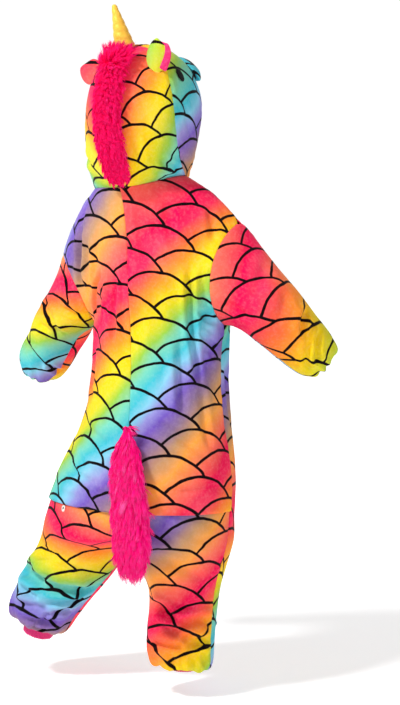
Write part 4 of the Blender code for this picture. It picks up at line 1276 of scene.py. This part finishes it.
def grown(name, backing, coat, keep, aim=None):
    """Locks over a backing that lean out and fall, or go where `aim` combs them."""
    count, clumps = coat.locks, coat.clumps
    rng = np.random.default_rng(coat.seed)
    roots, normals = scattered(backing, count, rng, keep)
    down = np.array([0.0, 0.0, -1.0])
    fall = unit(down - (normals @ down)[:, None] * normals + 1e-6)
    length = coat.long * rng.uniform(LENGTH_LEAST, LENGTH_MOST, (count, 1))
    if aim is not None:
        fall, stretch = aim(roots, fall)
        length = length * stretch
    stray = rng.normal(0, LOCK_STRAY, (count, 3))
    tips = roots + unit(normals * coat.lean + fall + stray) * length
    centres = rng.choice(count, clumps, replace=False)
    tree = tree_of(roots[centres])
    own = np.array([tree.find(r)[1] for r in roots])
    pull = rng.uniform(PULL_LEAST, PULL_MOST, (count, 1))
    clump_tips = tips[centres] + rng.normal(0, CLUMP_STRAY, (clumps, 3))
    tips = tips + (clump_tips[own] - tips) * pull
    shades = rng.normal(0.5, CLUMP_SHADE, clumps)[own] + rng.normal(0, LOCK_SHADE, count)
    return grow(name, roots, normals, tips, np.clip(shades, 0.02, 0.98), coat.thick, rng)


LOCKS_MANE, LOCKS_TAIL = ((8200, 9200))
MANE = Coat(LOCKS_MANE, LOCKS_MANE // 9, 0.0170, 0.00075, 0.72, 11)
TAIL = Coat(LOCKS_TAIL, LOCKS_TAIL // 10, 0.0280, 0.00080, 0.36, 12)
MANE_DRAWN_IN, TAIL_DRAWN_IN = 0.0075, 0.0085
MANE_SHIFT = (-0.0075, -0.0005, 0.0)
MANE_FACING, MANE_FOOT = -0.35, 0.008
# The mane is combed one way below, and another at the crown on each side of its middle.
COMBED = (-0.34, 0.05, 0.0)
STANDING, SPILLING = (0.10, -0.05, 0.95), (-0.80, -0.20, 0.30)
CROWN_DOWN, CROWN_FADE, CROWN_LONGER = 0.034, 0.020, 0.75
SIDE_REACH = 0.014
hood = [cloth["hood_left"], cloth["hood_right"]]
mane_back = backing_of("mane", "mane_backing", MANE_DRAWN_IN, hood)
mane_low, mane_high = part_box("mane")
mane_middle = (mane_low.x + mane_high.x) / 2


def out_of_hood(places, normals):
    """True where the mane's backing faces away from the hood, and above its lowest end."""
    return (normals[:, 1] > MANE_FACING) & (places[:, 2] > mane_low.z + MANE_FOOT)


def combed(roots, fall):
    """The mane falls to its right. At the crown tufts stand by the horn, and spill past its foot."""
    high = np.clip((roots[:, 2] - (mane_high.z - CROWN_DOWN)) / CROWN_FADE, 0, 1)[:, None]
    side = np.clip((roots[:, 0] - mane_middle) / SIDE_REACH, -1, 1)[:, None]
    standing = np.array(STANDING) * (1 + side) / 2
    spilling = np.array(SPILLING) * (1 - side) / 2
    way = (fall + np.array(COMBED)) * (1 - high) + (standing + spilling) * high
    return unit(way), 1 + CROWN_LONGER * high


mane = grown("mane_fur", mane_back, MANE, out_of_hood, combed)
tail_back = backing_of("tail", "tail_backing", TAIL_DRAWN_IN)
tail = grown("tail_fur", tail_back, TAIL, lambda places, normals: np.ones(len(places)))
for piece, node in ((mane, "mane"), (mane_back, "mane"), (tail, "tail"), (tail_back, "tail")):
    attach(piece, "root")
    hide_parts(node)
print("locks:", LOCKS_MANE, "in the mane,", LOCKS_TAIL, "in the tail")


# %% Dye the fur, and paint its shade, highlights and glow
# Painted light: the fur glows with its own colour, though it is no lamp, in place of the light that
# single hairs would pass on and that solid locks keep back.
FUR_PAINTED_LIGHT = 0.11


def fur_dye_and_painted_light(name, deep, middle, light):
    sheet = Sheet(name, roughness=0.8, Specular_IOR_Level=0.12, Emission_Strength=FUR_PAINTED_LIGHT)
    shade, way = sheet.split(sheet.uv("fur"))
    body = sheet.ramp(shade, (
        (0.0, deep), (0.35, middle), (0.65, middle), (1.0, light),
    ))
    # Painted shade: darker towards the roots, where the locks shade each other.
    root = (1.0 - way * 1.6).held()
    body = sheet.mix(root * 0.35, body, deep)
    # Painted highlight: paler towards the tips, where the locks catch the light.
    tip = ((way - 0.55) * 2.2).held()
    dye = sheet.mix(tip * 0.30, body, light)
    sheet.colour(dye)
    # Painted light: the fur's colour is also its glow.
    sheet.tree.links.new(dye.socket, sheet.shader.inputs["Emission Color"])
    return sheet.material


def knitted_backing(name):
    sheet = Sheet(name, roughness=0.95)
    knit = sheet.grain(sheet.place(), 600.0)
    sheet.colour(sheet.mix(knit, paint(236, 4, 104), paint(250, 10, 120)))
    sheet.bump(knit, 0.001)
    return sheet.material


for piece in (mane, mane_back):
    move_points(piece, points_of(piece) + np.array(MANE_SHIFT))
mane_dye_and_painted_light = fur_dye_and_painted_light("mane_dye_and_painted_light", paint(226, 0, 84), paint(250, 0, 100), paint(255, 50, 140))
tail_dye_and_painted_light = fur_dye_and_painted_light("tail_dye_and_painted_light", paint(240, 0, 116), paint(255, 8, 136), paint(255, 110, 188))
fur_back = knitted_backing("fur_backing")
mane.data.materials.append(mane_dye_and_painted_light)
tail.data.materials.append(tail_dye_and_painted_light)
for piece in (mane_back, tail_back):
    piece.data.materials.append(fur_back)
print("the fur is magenta")

# %% [markdown]
# ## The horn, ears, eyes and muzzle
#
# The horn is a stuffed cone of gold satin, wound with thread that pulls a spiral groove into it.
# Its solid already has the spiral. Here its bulges are softened towards an even cone, it is made
# a little shorter, and the satin's sheen and fine weave do the rest. The ears and the muzzle are
# cut from the printed fleece; being small, they take the print straight from one side, which
# hardly stretches it.


# %% Print a small piece from one side
def smooth_copy(node, name, levels=2):
    """A node's solid, subdivided smooth."""
    piece = copied(node, name)
    applied(piece, "SUBSURF", levels=levels, render_levels=levels)
    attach(piece, "root")
    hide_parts(node)
    return piece


def print_from_side(piece, across, up, crown, slope):
    """Both UV maps of a small piece, seen along the direction square to across and up."""
    points = points_of(piece)[corners_of(piece)]
    uv = np.c_[points @ np.array(across), points @ np.array(up)]
    scales = piece.data.uv_layers.new(name="scales")
    scales.data.foreach_set("uv", (uv - np.array(crown)).ravel())
    write_rainbow(piece, (uv - np.array(crown)) @ np.array(slope[:2]) + slope[2])


def plush(name, base, light, dark):
    """Plain coloured fleece."""
    sheet = Sheet(name, roughness=0.9, sheen=0.35)
    tufts = sheet.grain(sheet.place(), 210.0, 3.0, 0.6)
    pile = sheet.grain(sheet.place(), 900.0)
    body = sheet.mix(((tufts - 0.5) * 2.4).held(), base, light)
    sheet.colour(sheet.mix(((0.45 - tufts) * 2.4).held(), body, dark))
    sheet.bump(pile * 0.5 + tufts, 0.0010, 0.55)
    return sheet.material


pink_fleece = plush("pink_fleece", paint(232, 26, 108), paint(246, 92, 152), paint(176, 8, 76))
# Where each ear's colour starts and rises, and how the worn ear has shifted on the hood. On the
# right one the lining's edge is turned out beside the fleece, which the photo shows as a pink band.
Ear = namedtuple("Ear", "side start rise shift tall narrow band")
EARS = (
    Ear("left", 0.97, 1.0, (-0.006, -0.003, 0.002), 1.18, 1.12, 0.0),
    Ear("right", 0.350, 0.8, (0.0055, 0.0065, -0.0060), 1.04, 0.92, 0.0100),
)


LEAF_FOOT, LEAF_TOP, LEAF_BLUNT = 0.16, 0.72, 0.55
LINING_TALLER = 0.08
# The way in which the lining is slid: to the right in the photo, and a little up.
LINING_WAY = (-0.883, -0.40, 0.02)


def reshaped(piece, top, ear, turned):
    """Moves an ear's points: a rounder leaf of another height and width, its lining slid outwards."""
    points = points_of(piece)
    rise = (points[:, 2] - points[:, 2].min()) / np.ptp(points[:, 2])
    round_off = np.sin(math.pi * (LEAF_FOOT + LEAF_TOP * rise)) ** LEAF_BLUNT
    middle = points[:, :2].mean(axis=0)
    points[:, :2] = middle + (points[:, :2] - middle) * (round_off * ear.narrow)[:, None]
    points += turned * ear.band * np.array(LINING_WAY)
    points[:, 2] = top + (points[:, 2] - top) * (ear.tall + LINING_TALLER * turned)
    move_points(piece, points + np.array(ear.shift))


for ear in EARS:
    low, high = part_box("ear_" + ear.side)
    fleece_ear = smooth_copy("ear_" + ear.side, "ear_cloth_" + ear.side)
    crown_place = ((low.x + high.x) / 2 + 0.006, high.z - 0.006)
    print_from_side(fleece_ear, (1, 0, 0), (0, 0, 1), crown_place, (1.0, ear.rise, ear.start))
    fleece_ear.data.materials.append(fleece)
    lining = smooth_copy("ear_lining_" + ear.side, "ear_pink_" + ear.side)
    lining.data.materials.append(pink_fleece)
    reshaped(fleece_ear, high.z, ear, 0)
    reshaped(lining, high.z, ear, 1)

MUZZLE_WIDER, MUZZLE_SHIFT = 1.08, (-0.004, -0.003, -0.010)
MUZZLE_WAVES, MUZZLE_BUMPS = 70, 0.0009
# The muzzle's print is laid on from the front and a little from above.
MUZZLE_UP, MUZZLE_SLOPE = (0, -0.35, 0.94), (-0.6, 0.6, 0.47)
muzzle = smooth_copy("muzzle", "muzzle_cloth")
low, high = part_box("muzzle")
points = points_of(muzzle)
middle = points.mean(axis=0)
bumps = noise_at(points, MUZZLE_WAVES) * MUZZLE_BUMPS
points = (points - middle) * MUZZLE_WIDER + middle
points += np.array(MUZZLE_SHIFT)
move_points(muzzle, points + normals_of(muzzle) * bumps[:, None])
muzzle_crown = (low.x + 0.06, high.z - 0.004)
print_from_side(muzzle, (1, 0, 0), MUZZLE_UP, muzzle_crown, MUZZLE_SLOPE)
muzzle.data.materials.append(fleece)


# %% Wind the horn in satin
def gold_satin(name):
    sheet = Sheet(name, roughness=0.5, sheen=0.10, Metallic=0.15)
    place = sheet.place()
    streak = sheet.node("Mapping", Vector=place, Scale=(260.0, 260.0, 1400.0))
    weave = sheet.grain(sheet.out(streak), 1.0, 1.0)
    soft = sheet.grain(place, 60.0)
    body = sheet.mix(((soft - 0.35) * 1.6).held(), paint(242, 178, 36), paint(252, 206, 72))
    sheet.colour(sheet.mix(weave * 0.15, body, paint(255, 226, 130)))
    sheet.rough(0.44 + soft * 0.12)
    sheet.bump(weave + soft * 0.6, 0.0005, 0.5)
    return sheet.material


HORN_SMOOTH = 0.45
HORN_SHORT = 0.94
HORN_SHIFT = (0.0022, 0.0012, 0.0)
HORN_LEAN = (0.0034, 0.0018, 0.0)
# Shares of the horn's height: where its axis is measured, and where its bulges are softened.
HORN_TOP, HORN_FOOT = 0.9, (0.15, 0.25)
HORN_EVEN = (0.2, 0.96)

horn = smooth_copy("horn", "horn_satin")
points = points_of(horn)
low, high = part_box("horn")
rise = (points[:, 2] - low.z) / (high.z - low.z)
top = points[rise > HORN_TOP].mean(axis=0)
foot = points[(rise > HORN_FOOT[0]) & (rise < HORN_FOOT[1])].mean(axis=0)
axis = (top - foot) / np.linalg.norm(top - foot)
along = (points - foot) @ axis
spokes = points - foot - along[:, None] * axis
radius = np.linalg.norm(spokes, axis=1)
upper = (rise > HORN_EVEN[0]) & (rise < HORN_EVEN[1])
slope = np.polyfit(along[upper], radius[upper], 1)
even = np.where(upper, np.polyval(slope, along) / np.maximum(radius, 1e-6), 1.0)
points += spokes * ((even - 1) * HORN_SMOOTH)[:, None]
points[:, 2] = low.z + (points[:, 2] - low.z) * HORN_SHORT
points += np.array(HORN_SHIFT) + rise[:, None] * np.array(HORN_LEAN)
move_points(horn, points)
horn.data.materials.append(gold_satin("gold_satin"))


# %% Sew on the eyes
def satin_stitch(name, colour, light):
    """Close parallel threads, as in machine embroidery."""
    sheet = Sheet(name, roughness=0.6, sheen=0.0, Specular_IOR_Level=0.2)
    rows = sheet.node("Mapping", Vector=sheet.place(), Scale=(300.0, 300.0, 2600.0))
    thread = sheet.grain(sheet.out(rows), 1.0, 1.0)
    sheet.colour(sheet.mix(((thread - 0.4) * 1.6).held(), colour, light))
    sheet.bump(thread, 0.0004, 0.7)
    return sheet.material


black_thread = satin_stitch("black_thread", paint(4, 3, 4), paint(16, 14, 17))
EYE_WIDER = 0.35


def facing(points):
    """The middle of a flat piece, its shorter axis and the one square to its face."""
    middle = points.mean(axis=0)
    axes = np.linalg.eigh(np.cov((points - middle).T))[1]
    return middle, axes[:, 1], axes[:, 0]


def placed(piece, middle, out):
    """Bakes a piece modelled at the origin, facing +Z, into its place in the frame, facing out."""
    across = (Vector((1, 0, 0)) - out * out.x).normalized()
    turn = Matrix((across, out.cross(across), out)).transposed().to_4x4()
    piece.data.transform(Matrix.Translation(Vector(middle)) @ turn)
    piece.data.update()


for side in ("left", "right"):
    eye = smooth_copy("eye_" + side, "eye_stitched_" + side)
    eye.data.materials.append(black_thread)
    points = points_of(eye)
    middle, short, square = facing(points)
    across = (points - middle) @ short
    move_points(eye, points + across[:, None] * short * EYE_WIDER)
print("horn, ears, eyes and muzzle are on")

# %% [markdown]
# ## Rib cuffs, buttons and snap
#
# The ankles end in rib knit, whose ribs stand about 4 mm apart. A button is a turned disc with a
# dished middle, four holes and the thread that holds it; it is modelled once, lying at the origin,
# and each copy is set where its solid lies. The snap that closes the flap of the seat is a ring
# round a dark stud, set where the photo shows it.

# %% Knit the cuffs
RIBS = 44
RIB_DEEP = 0.0006


def rib_knit(name):
    sheet = Sheet(name, roughness=0.9, sheen=0.25)
    knit = sheet.node("Mapping", Vector=sheet.place(), Scale=(500.0, 500.0, 900.0))
    loops = sheet.grain(sheet.out(knit), 1.0, 2.0)
    sheet.colour(sheet.mix(loops, paint(196, 12, 88), paint(244, 60, 140)))
    sheet.bump(loops, 0.0007, 0.7)
    return sheet.material


knit_pink = rib_knit("knit_pink")
for side in ("left", "right"):
    cuff = smooth_copy("ankle_cuff_" + side, "cuff_rib_" + side, 3)
    points = points_of(cuff)
    low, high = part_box("ankle_cuff_" + side)
    angle = np.arctan2(points[:, 1] - (low.y + high.y) / 2, points[:, 0] - (low.x + high.x) / 2)
    ribs = RIB_DEEP * np.cos(RIBS * angle)
    move_points(cuff, points + normals_of(cuff) * ribs[:, None])
    cuff.data.materials.append(knit_pink)
    turn = math.pi * ((high.x - low.x) + (high.y - low.y)) / 2
    length = sum(face.area for face in cuff.data.polygons) / 2 / turn
    print(f"{cuff.name}: cut {turn:.3f} x {length:.3f} m")

# %% Turn a button
BUTTON_RADIUS = 0.0085
BUTTON_THICK = 0.0026
HOLE_RADIUS = 0.0009
HOLE_PLACE = 0.0016
BUTTON_RIM, BUTTON_DISH = 0.0012, 0.0006
STITCH_RADIUS, STITCH_ARCH = 0.00035, 0.0006
BEVEL_SHARE, BEVEL_ANGLE = 0.28, math.radians(50)
SHARPEST = math.radians(35)


def only(piece, test):
    """Selects in edit mode the faces whose middle and normal pass a test."""
    bpy.ops.mesh.select_all(action="DESELECT")
    bm = bmesh.from_edit_mesh(piece.data)
    for face in bm.faces:
        face.select_set(test(face.calc_center_median(), face.normal))
    bmesh.update_edit_mesh(piece.data)


def button_blank(name, radius, thick, rim, dish):
    """A disc with a rolled rim and a dished middle, facing +Z."""
    bpy.ops.mesh.primitive_cylinder_add(vertices=40, radius=radius, depth=thick)
    piece = bpy.context.active_object
    piece.name = piece.data.name = name
    bpy.ops.object.mode_set(mode="EDIT")
    bpy.ops.mesh.select_mode(type="FACE")
    only(piece, lambda middle, normal: normal.z > 0.9)
    bpy.ops.mesh.inset(thickness=rim)
    bpy.ops.mesh.inset(thickness=rim * 0.5)
    bpy.ops.transform.translate(value=(0, 0, -dish))
    bpy.ops.object.mode_set(mode="OBJECT")
    bevel = {"width": thick * BEVEL_SHARE, "limit_method": "ANGLE", "angle_limit": BEVEL_ANGLE}
    applied(piece, "BEVEL", segments=3, **bevel)
    return piece


def drilled(piece, places, radius, depth):
    """Holes through a piece, cut with small cylinders."""
    for x, y in places:
        bpy.ops.mesh.primitive_cylinder_add(
            vertices=14, radius=radius, depth=depth, location=(x, y, 0),
        )
        drill = bpy.context.active_object
        applied(piece, "BOOLEAN", operation="DIFFERENCE", object=drill, solver="EXACT")
        bpy.data.objects.remove(drill)


def pearl(name, base, light):
    sheet = Sheet(name, roughness=0.22, Coat_Weight=0.4)
    cloud = sheet.grain(sheet.place(), 240.0)
    sheet.colour(sheet.mix(((cloud - 0.35) * 1.8).held(), base, light))
    sheet.rough(0.18 + cloud * 0.14)
    return sheet.material


pearl_white = pearl("pearl_white", paint(226, 222, 214), paint(250, 248, 244))
thread_pink = satin_stitch("thread_pink", paint(190, 20, 90), paint(236, 80, 140))
dark_metal = pearl("dark_stud", paint(30, 28, 32), paint(60, 58, 64))


def join(pieces, name):
    """Joins pieces into the first of them."""
    bpy.ops.object.select_all(action="DESELECT")
    for piece in pieces:
        piece.select_set(True)
    bpy.context.view_layer.objects.active = pieces[0]
    bpy.ops.object.join()
    pieces[0].name = pieces[0].data.name = name
    return pieces[0]


def thread_bar(start, end, high):
    """A stitch from hole to hole that arches over the button."""
    bpy.ops.mesh.primitive_cylinder_add(vertices=8, radius=STITCH_RADIUS, depth=(end - start).length)
    bar = bpy.context.active_object
    bpy.ops.object.mode_set(mode="EDIT")
    bpy.ops.mesh.select_all(action="SELECT")
    bpy.ops.mesh.bisect(plane_co=(0, 0, 0), plane_no=(0, 0, 1))
    bpy.ops.object.mode_set(mode="OBJECT")
    for vert in bar.data.vertices:
        share = 1 - (2 * vert.co.z / (end - start).length) ** 2
        vert.co.y += STITCH_ARCH * share
    direction = (end - start).normalized()
    turn = Matrix((Vector((0, 0, 1)).cross(direction) * -1, Vector((0, 0, 1)), direction)).transposed()
    bar.data.transform(Matrix.Translation((start + end) / 2 + Vector((0, 0, high))) @ turn.to_4x4())
    bar.data.shade_smooth()
    return bar


def four_hole_button(name):
    places = [(x * HOLE_PLACE, y * HOLE_PLACE) for x in (-1, 1) for y in (-1, 1)]
    body = button_blank(name, BUTTON_RADIUS, BUTTON_THICK, BUTTON_RIM, BUTTON_DISH)
    body.data.shade_smooth()
    drilled(body, places, HOLE_RADIUS, BUTTON_THICK * 3)
    choose(body)
    bpy.ops.object.shade_smooth_by_angle(angle=SHARPEST)
    body.data.materials.append(pearl_white)
    top = BUTTON_THICK / 2 - BUTTON_DISH
    bars = []
    for y in (-1, 1):
        start, end = Vector((-HOLE_PLACE, y * HOLE_PLACE, 0)), Vector((HOLE_PLACE, y * HOLE_PLACE, 0))
        bar = thread_bar(start, end, top)
        bar.data.materials.append(thread_pink)
        bars.append(bar)
    return join([body, *bars], name)


button = four_hole_button("button_master")
closing = [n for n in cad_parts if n.startswith("button")]
for node in sorted(closing):
    middle, short, square = facing(points_of(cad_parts[node]))
    out = Vector(square) * (1 if square[1] < 0 else -1)
    piece = button.copy()
    piece.data = button.data.copy()
    piece.name = piece.data.name = node + "_pearl"
    bpy.context.scene.collection.objects.link(piece)
    placed(piece, middle, out)
    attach(piece, "root")
    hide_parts(node)
bpy.data.objects.remove(button)

# %% Set the snap of the seat
SNAP_SEEN = (64, 508.5)
SNAP_RAISED = 0.001
# The thickness of the snap's ring and stud, and the depth of their dishes.
RING_THICK, RING_DISH = 0.0020, 0.0009
STUD_THICK, STUD_DISH = 0.0016, 0.0003
# Shares of the snap's radius: the ring's rim, the stud's radius and the stud's rim.
RING_RIM, STUD_WIDE, STUD_RIM = 0.28, 0.48, 0.12
points = points_of(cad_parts["seat_snap"])
middle, short, square = facing(points)
out = Vector(square) * (1 if square[1] > 0 else -1)
snap_radius = np.linalg.norm(points - middle, axis=1).max()
ring = button_blank(
    "seat_snap_ring", snap_radius, RING_THICK, snap_radius * RING_RIM, RING_DISH,
)
ring.data.materials.append(pearl_white)
stud = button_blank(
    "seat_snap_stud", snap_radius * STUD_WIDE, STUD_THICK, snap_radius * STUD_RIM, STUD_DISH,
)
stud.data.materials.append(dark_metal)
snap = join([ring, stud], "snap_ring")
choose(snap)
bpy.ops.object.shade_smooth_by_angle(angle=SHARPEST)
middle = photo_hit(cloth, *SNAP_SEEN, "seat_left")[0] + out * SNAP_RAISED
placed(snap, middle, out)
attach(snap, "root")
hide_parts("seat_snap")
print(len(closing), "buttons and a snap are sewn on")

# %% [markdown]
# ## Floor and light
#
# A flat sheet of white paper lies under the suit and glows a little. The world is white beyond
# it, so there is no edge behind the suit, and dimmer behind the photographer. One small lamp
# draws the folds, and two large ones fill its shadows.

# %% Light the stage
FLOOR = -0.882
bpy.ops.mesh.primitive_plane_add(size=60, location=(0, 0, FLOOR))
floor = bpy.context.active_object
floor.name = "floor"
# The paper glows a little, more where the lamps don't reach, so that it stays white to its edge.
GLOW_NEAR, GLOW_FAR = 0.36, 0.80
# The glow changes between these distances from the suit, in metres.
GLOW_START, GLOW_END, GLOW_SPAN = 1.0, 3.75, 5.0
floor_sheet = Sheet("floor_paper", roughness=0.9, Emission_Strength=1.0)
paper = floor_sheet.grain(floor_sheet.place(), 3.0)
floor_sheet.colour(floor_sheet.mix(paper, paint(244, 244, 245), paint(252, 252, 252)))
reach = floor_sheet.node("VectorMath", {"operation": "LENGTH"}, _0=floor_sheet.place())
glow = floor_sheet.ramp(floor_sheet.out(reach, "Value") / GLOW_SPAN, (
    (GLOW_START / GLOW_SPAN, (GLOW_NEAR, GLOW_NEAR, GLOW_NEAR, 1)),
    (GLOW_END / GLOW_SPAN, (GLOW_FAR, GLOW_FAR, GLOW_FAR, 1)),
))
floor_sheet.tree.links.new(glow.socket, floor_sheet.shader.inputs["Emission Color"])
floor.data.materials.append(floor_sheet.material)
floor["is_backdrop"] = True

Lamp = namedtuple("Lamp", "name azimuth high away size power")
LIT_HEIGHT = -0.35
LAMPS = (
    Lamp("key", 160, 1.9, 2.2, 0.45, 88),
    Lamp("fill", 250, 0.9, 2.8, 2.0, 12),
    Lamp("front", 20, 1.4, 2.8, 1.8, 22),
)
for lamp in LAMPS:
    light = bpy.data.lights.new(lamp.name, "AREA")
    light.shape, light.size, light.energy = "DISK", lamp.size, lamp.power
    holder = linked(lamp.name, light)
    angle = math.radians(lamp.azimuth)
    holder.location = (math.sin(angle) * lamp.away, -math.cos(angle) * lamp.away, lamp.high)
    toward = Vector((0, 0, LIT_HEIGHT)) - holder.location
    holder.rotation_mode = "QUATERNION"
    holder.rotation_quaternion = toward.to_track_quat("-Z", "Y")

bpy.context.scene.view_settings.view_transform = "Standard"
world = bpy.data.worlds.new("studio")
world.use_nodes = True
# The world is white where the photographer looks, and dimmer in the room behind them.
ROOM_LIGHT, PAPER_LIGHT = 0.31, 1.02
# How closely a direction has to agree with the photographer's, for the light to start and be full.
PAPER_STARTS, PAPER_FULL = 0.70, 0.95
sky = world.node_tree
toward_paper = sky.nodes.new("ShaderNodeVectorMath")
toward_paper.operation = "DOT_PRODUCT"
sky.links.new(sky.nodes.new("ShaderNodeTexCoord").outputs["Generated"], toward_paper.inputs[0])
toward_paper.inputs[1].default_value = -back
strength = sky.nodes.new("ShaderNodeMapRange")
strength.interpolation_type = "SMOOTHSTEP"
sky.links.new(toward_paper.outputs["Value"], strength.inputs["Value"])
for socket, value in (
    ("From Min", PAPER_STARTS), ("From Max", PAPER_FULL), ("To Min", ROOM_LIGHT),
    ("To Max", PAPER_LIGHT),
):
    strength.inputs[socket].default_value = value
sky.nodes["Background"].inputs["Color"].default_value = (1, 1, 1, 1)
sky.links.new(strength.outputs["Result"], sky.nodes["Background"].inputs["Strength"])
bpy.context.scene.world = world

# %% Measure the dressed suit and finish
low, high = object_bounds()
print("dressed:", [round(v, 3) for v in (*low, *high)])
